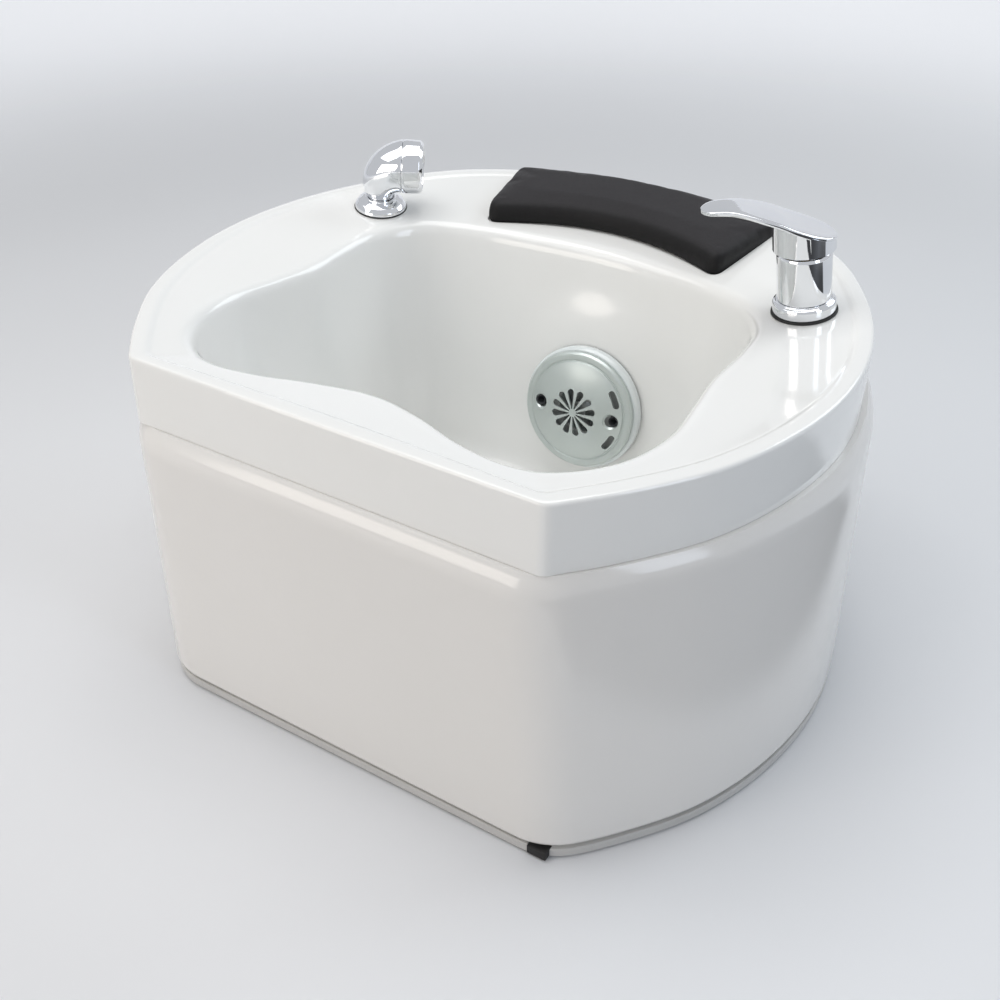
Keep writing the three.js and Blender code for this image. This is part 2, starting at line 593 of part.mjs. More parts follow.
let plinth = ringBody([[outerLine, outerLine, 0, plinthLow], [outerLine, outerLine, 0, skirtBottom - GAP],
  [innerLine, innerLine, 0, skirtBottom - GAP], [innerLine, innerLine, 0, plinthLow]]);
plinth = join(plinth, ...CROSS.map((y) =>
  box(0, y, plinthLow + 2, 2 * crossHalf(y), 42, skirtBottom - GAP - plinthLow - 2)));
plinth = cut(plinth,
  ...FOOT_SPOTS.map(({ x, y }) =>
    rod(FOOT_RADIUS + GAP, plinthLow - 1, plinthLow + 5, 12).translate(x, y, 0)),
  cornerBox(BLOCK_WIDTH + 2 * GAP, 30, plinthLow - 5, skirtBottom + 5));
put('base_plinth', plinth, plinthGrey);
put('corner_block', cornerBox(BLOCK_WIDTH, -GAP, plinthLow, skirtBottom - GAP), rubber);

['front_left', 'back_left', 'front_right', 'back_right'].forEach((name, i) => {
  const { x, y } = FOOT_SPOTS[i];
  put(`foot_${name}`, turn([[0, -DECK_HEIGHT], [FOOT_RADIUS - 1.5, -DECK_HEIGHT],
    [FOOT_RADIUS, -DECK_HEIGHT + FOOT_STAND], [FOOT_RADIUS, plinthLow + 5 - GAP],
    [0, plinthLow + 5 - GAP]], 12).translate(x, y, 0), rubber);
});

// ---------------------------------------------------------------- bowl supports
const bowlUnder = -BASIN_DEPTH - WALL;
CROSS.forEach((y, i) => {
  put(`bowl_support_${i ? 'back' : 'front'}`,
    box(0, y + (i ? 8 : -8), skirtBottom, 150, 26, bowlUnder - GAP - skirtBottom), darkPlastic);
});

// ---------------------------------------------------------------- foot pad
put('pad_board', prism(padPlan(-5), GAP, PAD_BOARD), darkPlastic, pad);

// the cushion: one rounded section, drawn in at the foot and crowned on top, carried from
// end to end between the front and the back arc
const cushion = (() => {
  const base = PAD_BOARD + GAP;
  const tall = PAD_THICK;
  const section = [[0.05, base], [0.005, base + 3], [-0.012, 0.42 * tall], [0.0, 0.72 * tall],
    [0.03, 0.9 * tall], [0.085, 0.985 * tall], [0.22, 1.04 * tall], [0.42, 1.08 * tall],
    [0.62, 1.08 * tall], [0.8, 1.03 * tall], [0.92, 0.96 * tall], [0.975, 0.84 * tall],
    [1.0, 0.62 * tall], [1.008, 0.4 * tall], [0.99, base + 2], [0.95, base]];
  const ends = [[0, 0.8, 0.32], [0.006, 0.91, 0.5], [0.018, 0.97, 0.75], [0.04, 0.995, 0.93]];
  const mid = Array.from({ length: 15 }, (_, i) => [0.08 + 0.84 * i / 14, 1, 1]);
  const stations = [...ends, ...mid, ...ends.map(([u, w, h]) => [1 - u, w, h]).reverse()];
  const plan = (u, v) => {
    const t = 1 - 2 * u;
    const front = V2(t * PAD_FRONT[0], -PAD_BOW[0] + PAD_BOW[0] * (1 - t * t));
    const rear = V2(t * PAD_BACK[0], padDeep - PAD_BOW[0] + PAD_BOW[1] * (1 - t * t));
    return front.lerp(rear, v);
  };
  return loft(stations.map(([u, wide, high]) => section.map(([v, z]) => {
    const p = plan(u, 0.5 + (v - 0.5) * wide);
    return V3(p.x, p.y, base + (z - base) * high);
  })));
})();
put('foot_rest_pad', cushion, vinyl, pad);
const seatUnder = -WALL - 0.2;
studs.forEach(({ x, y }, i) => {
  const side = i ? 'right' : 'left';
  put(`pad_stud_${side}`, rod(STUD_RADIUS, -26, 0, 12).translate(x, y, 0), steel, pad);
  const hub = turn([[0, seatUnder - 11], [6.5, seatUnder - 11], [6.5, seatUnder - 3],
    [10, seatUnder - 2], [10, seatUnder - GAP], [0, seatUnder - GAP]]);
  const wing = cut(join(hub, box(0, 0, seatUnder - 16, 30, 3, 12)), rod(STUD_RADIUS + GAP, -60, 20, 12));
  put(`pad_wing_nut_${side}`, wing.translate([x, y, 0]), steel, pad);
});

// ---------------------------------------------------------------- mixer
// in its own frame: Z up along the mixer, X towards the middle of the basin
const flangeTop = 15;
const nippleSpots = [90, 210, 330].map((a) => V2(6 * Math.cos(rad(a)), 6 * Math.sin(rad(a))));
put('mixer_gasket', turn([[SHANK_RADIUS + 0.6, GAP], [TAP_BASE - 0.6, GAP], [TAP_BASE, 1],
  [TAP_BASE - 0.4, 2.6], [SHANK_RADIUS + 0.6, 2.6]], FINE), rubber, tap);
put('mixer_flange', turn([[SHANK_RADIUS + 0.6, 2.9], [TAP_BASE - 1.6, 2.9], [TAP_BASE - 1.6, flangeTop - 4],
  [TAP_BASE - 2.4, flangeTop - 2.2], [TAP_RADIUS + 1.6, flangeTop - 1.2], [TAP_RADIUS + 0.8, flangeTop],
  [SHANK_RADIUS + 0.6, flangeTop]], FINE), chrome, tap);
put('mixer_body', turn([[0, flangeTop + GAP], [TAP_RADIUS, flangeTop + GAP], [TAP_RADIUS, TAP_HEIGHT - 4],
  [TAP_RADIUS - 0.8, TAP_HEIGHT - 1.6], [TAP_RADIUS - 2.4, TAP_HEIGHT - 0.3], [TAP_RADIUS - 4, TAP_HEIGHT],
  [CARTRIDGE_RADIUS + GAP, TAP_HEIGHT], [CARTRIDGE_RADIUS + GAP, 24], [0, 24]], FINE), chrome, tap);
put('mixer_cartridge', turn([[0, 24 + GAP], [CARTRIDGE_RADIUS, 24 + GAP], [CARTRIDGE_RADIUS, 52], [12, 52],
  [12, 60], [CARTRIDGE_BORE, 60], [CARTRIDGE_BORE, 40], [0, 40]]), plastic, tap);
put('mixer_bonnet_nut', turn([[12 + GAP, 52 + GAP], [CARTRIDGE_RADIUS, 52 + GAP],
  [CARTRIDGE_RADIUS, TAP_HEIGHT + 0.6], [CARTRIDGE_RADIUS - 1.4, TAP_HEIGHT + 1.6],
  [12 + GAP, TAP_HEIGHT + 1.6]]), brass, tap);

// the turning carrier holds the spindle on a cross pin, the lever turns and tilts with them
const slot = SPINDLE + 0.8;
const crossPin = (radius, half) =>
  rod(radius, -half, half, 12).rotateX(Math.PI / 2).translate(0, 0, LEVER_PIVOT);
put('cartridge_carrier', cut(rod(CARTRIDGE_BORE - GAP, 40 + GAP, 61), box(0, 0, 44, 15.2, slot, 20),
  crossPin(PIN_RADIUS + GAP, 12)), plastic, tap);
put('spindle_pin', crossPin(PIN_RADIUS, 7.9), steel, tap);
put('mixer_spindle', cut(box(0, 0, 46.5, SPINDLE, SPINDLE, 31.5), crossPin(PIN_RADIUS + GAP, 12)),
  brass, tap);

const capLow = TAP_HEIGHT + 2;
const capRoof = capLow + 14;
const screwAt = capLow + 10;
const lever = (() => {
  // stations along the blade: distance, middle of its top, width, thickness
  const stations = [[-27.6, 79.5, 9, 7], [-26, 81.2, 18, 10], [-21, 84, 25, 11], [-12, 88, 30, 12],
    [0, 94.5, 32, 13], [12, 101.5, 32.5, 11], [25, 108, 31.5, 8.5], [42, 115, 28, 6.6], [60, 121, 25, 5.6],
    [LEVER_REACH - 18, LEVER_RISE - 3.2, 22.5, 5], [LEVER_REACH - 8, LEVER_RISE - 1, 19.5, 4.6],
    [LEVER_REACH - 3, LEVER_RISE - 0.3, 14.5, 4.2], [LEVER_REACH, LEVER_RISE - 0.3, 7, 3.4]];
  const blade = stations.map(([x, top, wide, thick], k) => {
    const a = stations[Math.max(0, k - 1)];
    const b = stations[Math.min(stations.length - 1, k + 1)];
    const lean = Math.atan2(b[1] - a[1], b[0] - a[0]) * 0.5;
    return Array.from({ length: 12 }, (_, i) => {
      const t = 2 * Math.PI * (i + 0.5) / 12;
      const [c, s] = [Math.cos(t), Math.sin(t)];
      const y = 0.5 * wide * Math.sign(c) * Math.abs(c) ** 0.5;
      const z = 0.5 * thick * (Math.sign(s) * Math.abs(s) ** 0.6 - 1) + 0.6;
      return V3(x - z * Math.sin(lean), y, top + z * Math.cos(lean));
    });
  });
  const inner = CAP_RADIUS - 1.9;
  const cap = turn([[inner, capLow], [CAP_RADIUS, capLow], [CAP_RADIUS, capRoof - 1],
    [CAP_RADIUS - 1.2, capRoof + 2], [21, capRoof + 6], [12, capRoof + 8.5], [0, capRoof + 9.5],
    [0, capRoof], [inner - 1.5, capRoof], [inner, capRoof - 1.5]], FINE);
  const socket = box(-3.5, 0, capLow + 6, 21, 15, capRoof - capLow - 4);
  return cut(join(cap, loft(blade), socket),
    box(0, 0, capLow, slot, slot, 79 - capLow),
    rod(2.2, -40, 0, 12).rotateY(Math.PI / 2).translate(0, 0, screwAt));
})();
put('lever_handle', lever, chrome, tap);
put('lever_set_screw', rod(1.9, -13.5, -SPINDLE / 2 - GAP, 12).rotateY(Math.PI / 2)
  .translate(0, 0, screwAt), steel, tap);

const under = -BOSS_DEPTH - GAP;   // underside of the fittings' bosses
const NIPPLE_LOW = -SHANK_LENGTH - 16;
put('mixer_shank', cut(rod(SHANK_RADIUS, -SHANK_LENGTH, flangeTop),
  ...nippleSpots.map(({ x, y }) => rod(NIPPLE_RADIUS + GAP, -60, 30, 16).translate(x, y, 0))), brass, tap);
put('mixer_washer', tube(26, SHANK_RADIUS + GAP, under - 2, under), rubber, tap);
put('mixer_nut', nut(42, SHANK_RADIUS + GAP, under - 12, under - 2 - GAP), brass, tap);
['hot', 'cold', 'mixed'].forEach((name, i) => {
  const { x, y } = nippleSpots[i];
  const pipe = tube(NIPPLE_RADIUS, 2.4, NIPPLE_LOW, flangeTop - GAP, 14);
  put(`nipple_${name}`, pipe.translate(x, y, 0), brass, tap);
});

// ---------------------------------------------------------------- hand shower
// in its own frame: Z up along the handle, X towards the middle of the basin
put('shower_gasket', turn([[HANDLE_RADIUS + 1.5, GAP], [SHOWER_FLANGE - 0.3, GAP],
  [SHOWER_FLANGE + 0.3, 0.8], [SHOWER_FLANGE - 0.1, 1.5], [HANDLE_RADIUS + 1.5, 1.5]], FINE), rubber, shower);
put('shower_flange', turn([[HANDLE_RADIUS + 1.5, 1.8], [SHOWER_FLANGE - 0.4, 1.8], [SHOWER_FLANGE - 1, 5],
  [SHOWER_FLANGE - 4.5, 9], [SHOWER_FLANGE - 9, 11.6], [HANDLE_RADIUS + 2.8, 12.5],
  [HANDLE_RADIUS + 2.2, 13.2], [HANDLE_RADIUS + 0.5, 13.2], [HANDLE_RADIUS + 0.5, 6.3],
  [HANDLE_RADIUS + 1.5, 6.3]], FINE), chrome, shower);
const guideLow = -44;
put('shower_guide', turn([[SPIGOT_RADIUS + 0.5, guideLow], [HANDLE_RADIUS, guideLow], [HANDLE_RADIUS, 2],
  [HANDLE_RADIUS + 1.2, 2.6], [HANDLE_RADIUS + 1.2, 6], [SPIGOT_RADIUS + 0.5, 6]]), plastic, shower);
put('shower_washer', tube(22, HANDLE_RADIUS + GAP, under - 2, under), rubber, shower);
put('shower_nut', nut(36, HANDLE_RADIUS + GAP, under - 10, under - 2 - GAP), brass, shower);

// the handset: spigot and neck, a rounded back, and a screwed-on face that looks sideways
const headAt = V3(18, 0, 50);
const sprayTurn = rad(SPRAY_TURN);
const sprayAxis = new THREE.Group();
sprayAxis.rotation.z = sprayTurn;
shower.add(sprayAxis);
const ahead = (geometry, x) => outward(geometry.rotateY(Math.PI / 2).translate(x, 0, headAt.z));
const backBowl = ahead(turn([[0, -24], [8, -22.8], [16, -18.5], [22, -11.5], [26, -3],
  [SPRAY_RADIUS, 6], [0, 6]], FINE), headAt.x);
const neck = turn([[0, -30], [SPIGOT_RADIUS, -30], [SPIGOT_RADIUS, 6.6], [HANDLE_RADIUS, 6.6],
  [HANDLE_RADIUS, 34], [HANDLE_RADIUS - 1.5, 46], [9, 56], [0, 58]]);
put('shower_handle', cut(join(neck, backBowl), rod(HOSE_RADIUS + GAP, -40, -22, 20)), chrome, sprayAxis);
put('spray_head', ahead(turn([[0, 6 + GAP], [SPRAY_RADIUS, 6 + GAP], [SPRAY_RADIUS + 0.6, 10],
  [SPRAY_RADIUS, 25], [SPRAY_RADIUS - 3, 28.5], [SPRAY_RADIUS - 4, 28.5], [SPRAY_RADIUS - 4, 24],
  [0, 24]], FINE), headAt.x), chrome, sprayAxis);
put('spray_plate', ahead(turn([[0, 24 + GAP], [SPRAY_RADIUS - 4.3, 24 + GAP], [SPRAY_RADIUS - 4.3, 26.4],
  [12, 27.4], [0, 27.7]]), headAt.x), plastic, sprayAxis);
const TAIL_LOW = -170;
put('shower_hose_tail', rod(HOSE_RADIUS, TAIL_LOW, -22 - GAP, 10), hoseGrey, sprayAxis);

// the hose between the mixed outlet and the hand shower, behind the bowl and over the jet's motor
const hosePoints = (() => {
  const { x, y } = nippleSpots[2];
  const start = V3(x, y, NIPPLE_LOW - GAP);
  const end = V3(0, 0, TAIL_LOW - GAP);
  const onTub = (p, group) => p.clone().applyMatrix4(group.matrix);
  return [onTub(start, tap), onTub(start.clone().setZ(start.z - 14), tap),
    V3(244, 430, -112), V3(205, 492, -126), V3(120, 545, -112), V3(0, 556, -104),
    V3(-115, 540, -118), V3(-190, 492, -175), V3(-236, 452, -222),
    onTub(end.clone().setZ(end.z - 30), shower), onTub(end.clone().setZ(end.z - 12), shower),
    onTub(end, shower)];
})();
put('mixer_hose', sweep(hosePoints, HOSE_RADIUS, 30, 8), hoseGrey);

// ---------------------------------------------------------------- water jet
// in its own frame: Z out of the wall, Y up the wall. The impeller draws water in through
// the cover's petals and throws it out through the two nozzles.
const housingLow = -32;
const housingRim = 14;
const ledge = 6;
put('jet_gasket', tube(JET_RADIUS - 1, JET_BORE + 2, JET_SEAT + GAP, JET_SEAT + 1.6, FINE), rubber, jet);
put('jet_housing', turn([[SHAFT_RADIUS + 0.4, housingLow], [JET_BORE, housingLow], [JET_BORE, JET_SEAT + 1.9],
  [JET_RADIUS, JET_SEAT + 1.9], [JET_RADIUS, housingRim - 3], [JET_RADIUS - 2.5, housingRim],
  [RECESS_RADIUS, housingRim], [RECESS_RADIUS, ledge], [JET_BORE - 7, ledge], [JET_BORE - 7, housingLow + 5],
  [SHAFT_RADIUS + 0.4, housingLow + 5]], FINE), jetSilver, jet);
put('jet_backing_gasket', tube(JET_BORE + 13, JET_BORE + GAP, under - 1.6, under, FINE), rubber, jet);
const notches = Array.from({ length: 6 }, (_, i) =>
  box(JET_BORE + 15, 0, under - 20, 10, 9, 30).rotateZ(i * Math.PI / 3));
put('jet_lock_nut', cut(tube(JET_BORE + 14, JET_BORE + GAP, under - 13, under - 1.9, FINE), ...notches),
  darkPlastic, jet);

const motorTop = housingLow - GAP;
const shaftLow = -60;
put('jet_motor', turn([[0, -112], [20, -112], [24, -108], [MOTOR_RADIUS - 3, -106], [MOTOR_RADIUS, -102],
  [MOTOR_RADIUS, -44], [JET_BORE, -42], [JET_BORE, motorTop], [SHAFT_RADIUS + 0.4, motorTop],
  [SHAFT_RADIUS + 0.4, shaftLow], [0, shaftLow]]), darkPlastic, jet);
put('jet_shaft', rod(SHAFT_RADIUS, shaftLow + GAP, -3.5, 12), steel, jet);

const bladeCount = 6;
const blades = Array.from({ length: bladeCount }, (_, i) => {
  const arc = new THREE.QuadraticBezierCurve(V2(7, 0), V2(19, 1), V2(28, 11)).getPoints(3);
  const back = arc.map((p) => V2(p.x - 0.6, p.y + 2.2)).reverse();
  return prism([...arc, ...back], -22.5, -8).rotateZ(i * 2 * Math.PI / bladeCount);
});
const impellerDisc = turn([[0, -24], [IMPELLER_RADIUS, -24], [IMPELLER_RADIUS, -21.8], [10, -21.8],
  [9, -19], [9, -6], [6, -4], [0, -4]]);
put('jet_impeller', cut(join(impellerDisc, ...blades), rod(SHAFT_RADIUS + GAP, -30, 0, 12)), plastic, jet);

const diffuserTop = 9;
put('jet_diffuser', tube(RECESS_RADIUS - GAP, IMPELLER_RADIUS - 2, ledge + GAP, diffuserTop, FINE),
  plastic, jet);
[1, -1].forEach((side) => {
  const nozzle = turn([[NOZZLE_RADIUS - 2, diffuserTop + GAP], [NOZZLE_RADIUS + 3, diffuserTop + GAP],
    [NOZZLE_RADIUS + 3, 11], [NOZZLE_RADIUS, 13], [NOZZLE_RADIUS, 22], [NOZZLE_RADIUS - 1, 22],
    [NOZZLE_RADIUS - 2, 19]], 12);
  put(`jet_nozzle_${side > 0 ? 'right' : 'left'}`, nozzle.translate(side * NOZZLE_AT, 0, 0),
    darkPlastic, jet);
});

// the cover: a shallow dome in a bevelled rim, pierced by petals, holes and two slots
const domeAt = (r) => housingRim + 18 - 10.5 * (r / 55) ** 2;
const cover = (() => {
  const dome = [55, 38, 19, 0];
  const skirtLow = diffuserTop + 2 * GAP;
  return turn([...dome.map((r) => [r, domeAt(r)]).reverse(), [56.5, housingRim + 6.7],
    [COVER_RADIUS - 2, housingRim + 6.5], [COVER_RADIUS, housingRim + 4.5], [COVER_RADIUS, housingRim + GAP],
    [RECESS_RADIUS - GAP, housingRim + GAP], [RECESS_RADIUS - GAP, skirtLow],
    [RECESS_RADIUS - COVER_WALL, skirtLow], [RECESS_RADIUS - COVER_WALL, housingRim + 4.2],
    ...dome.map((r) => [r, domeAt(r) - COVER_WALL])], FINE);
})();
const petal = (() => {         // a teardrop, its tip towards the middle
  const [tip, bulb] = [4.5, 3.3];
  const bow = Array.from({ length: 4 }, (_, i) => {
    const a = -Math.PI / 2 + i * Math.PI / 3;
    return V2(PETAL_REACH - bulb + bulb * Math.cos(a), bulb * Math.sin(a));
  });
  return [V2(tip, -0.5), ...bow, V2(tip, 0.5)];
})();
const opening = (r, a) => rod(r, 0, 60).translate(NOZZLE_AT * Math.cos(a), NOZZLE_AT * Math.sin(a), 0);
const coverSlot = (a) => box(50, 0, 0, 7, 16, 60).rotateZ(a);
const petals = Array.from({ length: PETALS }, (_, i) =>
  prism(petal, 0, 60).rotateZ((i + 0.5) * 2 * Math.PI / PETALS));
put('jet_cover', cut(cover, ...petals, opening(NOZZLE_RADIUS + 3 * GAP, 0),
  opening(NOZZLE_RADIUS + 3 * GAP, Math.PI), coverSlot(rad(30)), coverSlot(rad(-30))), jetSilver, jet);

// ---------------------------------------------------------------- drain
// in its own frame: Z up, its origin on the sump's floor
const tailLow = -27;
put('drain_gasket', tube(DRAIN_RADIUS - 1, DRAIN_TAIL + 1, DRAIN_SEAT + GAP, DRAIN_SEAT + 1.3),
  rubber, drain);
put('drain_flange', turn([[DRAIN_BORE, tailLow], [DRAIN_TAIL, tailLow], [DRAIN_TAIL, 1.8],
  [DRAIN_RADIUS, 1.8], [DRAIN_RADIUS - 0.5, 3], [DRAIN_RADIUS - 6.5, 4.6], [DRAIN_RADIUS - 7.5, 4.6],
  [DRAIN_BORE, 2.2]], FINE), chrome, drain);
const spiderArms = box(0, 0, -16, 2 * DRAIN_BORE - 4, 3, 6);
put('drain_spider', cut(join(tube(DRAIN_BORE - GAP, DRAIN_BORE - 3.5, -16, -10, FINE),
  rod(PLUG_STEM + 3, -16, -10, 16), spiderArms), rod(PLUG_STEM + GAP, -20, 0, 16)), plastic, drain);
put('drain_plug', turn([[0, -22], [PLUG_STEM, -22], [PLUG_STEM, 1.8], [DRAIN_BORE - 2.5, 1.8],
  [DRAIN_BORE + 3.5, 3.9], [DRAIN_BORE + 3.1, 5.2], [DRAIN_BORE - 3.5, 6.8], [0, 7.8]], FINE), chrome, drain);
const nutLow = under - 9;
put('drain_nut', nut(2 * DRAIN_TAIL + 13, DRAIN_TAIL + GAP, nutLow, under, FINE), plastic, drain);
const outlet = (radius, from, to) => rod(radius, from, to).rotateY(Math.PI / 2).translate(0, 0, -33);
put('drain_elbow', cut(join(rod(DRAIN_TAIL + 3.5, -48, nutLow - GAP), outlet(WASTE_BORE + 2.5, 0, 70)),
  rod(DRAIN_TAIL + GAP, tailLow - 1, 0, FINE), rod(DRAIN_BORE, -44, 0), outlet(WASTE_BORE, 0, 80)),
plastic, drain);

export default root;
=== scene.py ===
# %% [markdown]
# # A pedicure foot basin
# The real object is a white acrylic tub for two feet. It stands on a moulded skirt, and it
# has a padded foot rest, a single-lever mixer, a pull-out hand shower, a water jet and a
# push-up drain plug. This lesson builds the looks of each piece on top of the measured
# model, cell by cell: first the photographer's set, then the finishes, then the pieces.

# %% Load the measured model
import math
import json

import bmesh
import bpy
import numpy as np
from mathutils import Matrix, Vector

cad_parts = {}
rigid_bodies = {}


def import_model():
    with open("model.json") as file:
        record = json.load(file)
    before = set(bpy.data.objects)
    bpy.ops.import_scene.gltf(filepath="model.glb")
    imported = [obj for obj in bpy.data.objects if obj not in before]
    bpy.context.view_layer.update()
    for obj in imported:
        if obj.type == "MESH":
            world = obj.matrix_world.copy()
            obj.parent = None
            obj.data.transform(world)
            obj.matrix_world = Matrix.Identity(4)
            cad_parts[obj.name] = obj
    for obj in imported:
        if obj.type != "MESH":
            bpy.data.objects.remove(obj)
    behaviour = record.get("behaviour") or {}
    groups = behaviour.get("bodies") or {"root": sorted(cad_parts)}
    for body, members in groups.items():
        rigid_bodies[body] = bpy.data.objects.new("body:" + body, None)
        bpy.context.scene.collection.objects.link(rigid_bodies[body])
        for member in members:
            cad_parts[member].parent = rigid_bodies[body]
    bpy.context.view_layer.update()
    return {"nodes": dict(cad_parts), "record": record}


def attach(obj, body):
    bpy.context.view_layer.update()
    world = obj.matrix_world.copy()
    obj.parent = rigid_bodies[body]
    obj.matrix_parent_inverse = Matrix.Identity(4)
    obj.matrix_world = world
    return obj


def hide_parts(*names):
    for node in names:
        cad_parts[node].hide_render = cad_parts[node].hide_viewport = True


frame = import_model()

# %% [markdown]
# ## Camera
# A product photographer stands a little right of the tub and looks down at it. The camera
# is described by where it is, how far it looks down and how far it has walked round the
# tub. A 43 mm lens on a 36 mm sensor is a normal lens, so the tub's straight lines stay
# calm.

# %% Camera
LOOK_DOWN, WALKED_ROUND = math.radians(34.8), math.radians(32.3)
lens = bpy.data.cameras.new("camera")
lens.lens, lens.sensor_width = 43.2, 36.0
camera = bpy.data.objects.new("camera", lens)
camera.location = (0.5531, -0.9157, 0.8575)
camera.rotation_euler = (math.pi / 2 - LOOK_DOWN, 0, WALKED_ROUND)
bpy.context.collection.objects.link(camera)
bpy.context.scene.camera = camera
print("camera at", tuple(round(v, 3) for v in camera.location))

# %% [markdown]
# ## Node trees as sums
# A finish is a small calculation: a colour here, a little more shine there. Blender does
# that calculation with nodes. One class wraps a node's output, so that a sum such as
# `1 - mask` can be written in Python and adds the Math nodes itself. Every other node
# comes from its `node` method.

# %% Sockets that can be added and multiplied
class Socket:
    """The output of a shader node, ready to be used in a sum."""

    def __init__(self, tree, output=None):
        self.tree, self.output = tree, output

    def node(self, kind, settings=None, sockets=None, output=0):
        """Adds a node: its settings first, then the values or links of its sockets."""
        made = self.tree.nodes.new(kind)
        for key, value in (settings or {}).items():
            setattr(made, key, value)
        for key, value in (sockets or {}).items():
            if isinstance(value, Socket):
                self.tree.links.new(value.output, made.inputs[key])
            else:
                made.inputs[key].default_value = value
        return Socket(self.tree, made.outputs[output] if made.outputs else None)

    def sum(self, operation, first, second):
        return self.node("ShaderNodeMath", {"operation": operation}, {0: first, 1: second})

    def __add__(self, other):
        return self.sum("ADD", self, other)

    def __mul__(self, other):
        return self.sum("MULTIPLY", self, other)

    def __sub__(self, other):
        return self.sum("SUBTRACT", self, other)

    def __rsub__(self, other):
        return self.sum("SUBTRACT", other, self)

    def __pow__(self, other):
        return self.sum("POWER", self, other)

    __radd__, __rmul__ = __add__, __mul__

    def blend(self, low, high):
        """A colour between two colours, by this value."""
        return self.node("ShaderNodeMix", {"data_type": "RGBA"},
                         {"Factor": self, 6: (*low, 1), 7: (*high, 1)}, output=2)


def colour(*levels):
    """A screen colour of 0 to 255 as the light that Blender works in."""
    shares = [v / 255 for v in levels]
    return tuple(v / 12.92 if v < 0.04045 else ((v + 0.055) / 1.055) ** 2.4 for v in shares)


print("white", colour(236, 236, 233))

# %% [markdown]
# ## Patterns
# No real surface is one even colour. Moulded acrylic has a faint cloudiness and a skin
# like very fine orange peel, polished metal has wiping marks, vinyl has a grain of small
# cells. All patterns read Object coordinates: each piece lies where it belongs in metres,
# so a pattern keeps its real scale and stays on the piece when it moves.

# %% Patterns on Object coordinates
def patterns(tree):
    """A start for a finish: the sheet's coordinates and the pattern makers on them."""
    start = Socket(tree)
    where = start.node("ShaderNodeTexCoord", output="Object")

    def cloud(scale, detail=3.0, roughness=0.5, at=where):
        return start.node("ShaderNodeTexNoise", {"noise_dimensions": "3D"},
                          {"Vector": at, "Scale": scale, "Detail": detail, "Roughness": roughness})

    def cells(scale, feature="F1", at=where):
        return start.node("ShaderNodeTexVoronoi", {"feature": feature},
                          {"Vector": at, "Scale": scale})

    def stretched(x, y, z):
        return start.node("ShaderNodeMapping", {}, {"Vector": where, "Scale": (x, y, z)})

    return start, cloud, cells, stretched


def clouds(scale, detail, base=None, span=1.0):
    """A recipe for an even cloudiness, or for a value that varies with one."""
    def recipe(cloud, **_):
        soft = cloud(scale, detail)
        return soft if base is None else base + span * soft
    return recipe


def ramp(value, start, end):
    """Nothing before the start, one after the end, and a soft slope between."""
    return value.node("ShaderNodeMapRange", {"interpolation_type": "SMOOTHSTEP"},
                      {"Value": value, "From Min": start, "From Max": end})


def place(start):
    """The three Object coordinates of a point, one by one."""
    where = start.node("ShaderNodeTexCoord", output="Object")
    split = start.node("ShaderNodeSeparateXYZ", {}, {0: where}).output.node.outputs
    return [Socket(start.tree, split[k]) for k in range(3)]


GLOW = (0.42, 0.43, 0.45)


def finish(name, low, high, mask, roughness, relief=None, height=0.0, glow=None, **constants):
    """A finished material: two tints mixed by a mask, a roughness and a relief."""
    material = bpy.data.materials.new(name)
    material.use_nodes = True
    tree = material.node_tree
    tree.nodes.clear()
    start, cloud, cells, stretched = patterns(tree)
    makers = {"start": start, "cloud": cloud, "cells": cells, "stretched": stretched}
    sockets = {"Base Color": mask(**makers).blend(low, high), "Roughness": roughness(**makers)}
    if relief:
        sockets["Normal"] = start.node("ShaderNodeBump", {}, {
            "Height": relief(**makers), "Strength": 1.0, "Distance": height})
    if glow:
        sockets["Emission Color"] = glow(**makers).blend((0, 0, 0), GLOW)
    sockets.update({key.replace("_", " "): value for key, value in constants.items()})
    surface = start.node("ShaderNodeBsdfPrincipled", {}, sockets)
    start.node("ShaderNodeOutputMaterial", {}, {"Surface": surface})
    material.diffuse_color = (*[(a + b) / 2 for a, b in zip(low, high)], 1)
    return material


# %% [markdown]
# ## Finishes
# The shell is cast acrylic: the colour is a warm white, the skin is glossy, with a barely
# visible cloudiness. The skirt is the same sheet in a slightly creamier batch, and the
# plinth under it is a satin grey. Each finish mixes two tints that lie close together.

# %% Acrylic, skirt and plinth
FINISH = {}
FINISH["acrylic"] = finish(
    "gloss_acrylic", colour(243, 243, 241), colour(239, 239, 236),
    clouds(4.0, 4),
    clouds(14.0, 3, base=0.07, span=0.07),
    lambda cloud, **_: cloud(60.0, 2) * 0.7 + cloud(420.0, 2) * 0.3, 0.00012,
    Coat_Weight=0.35, Coat_Roughness=0.03, IOR=1.49)
FINISH["skirt_white"] = finish(
    "gloss_skirt", colour(235, 233, 230), colour(229, 227, 223),
    clouds(3.2, 4),
    clouds(11.0, 3, base=0.10, span=0.10),
    lambda cloud, **_: cloud(45.0, 2) * 0.8 + cloud(380.0, 2) * 0.2, 0.0002,
    Coat_Weight=0.25, Coat_Roughness=0.06, IOR=1.49)
FINISH["plinth_grey"] = finish(
    "satin_plinth", colour(206, 205, 202), colour(194, 193, 191),
    clouds(18.0, 4),
    clouds(40.0, 3, base=0.38, span=0.16),
    clouds(900.0, 2), 0.00006)
print("white finishes", sorted(FINISH))

# %% [markdown]
# Rubber and moulded plastics are dull because their skins are finely pitted by the mould.
# The pits are a noise of under a millimetre in the relief, and the colour is a little
# paler where the pits catch dust.

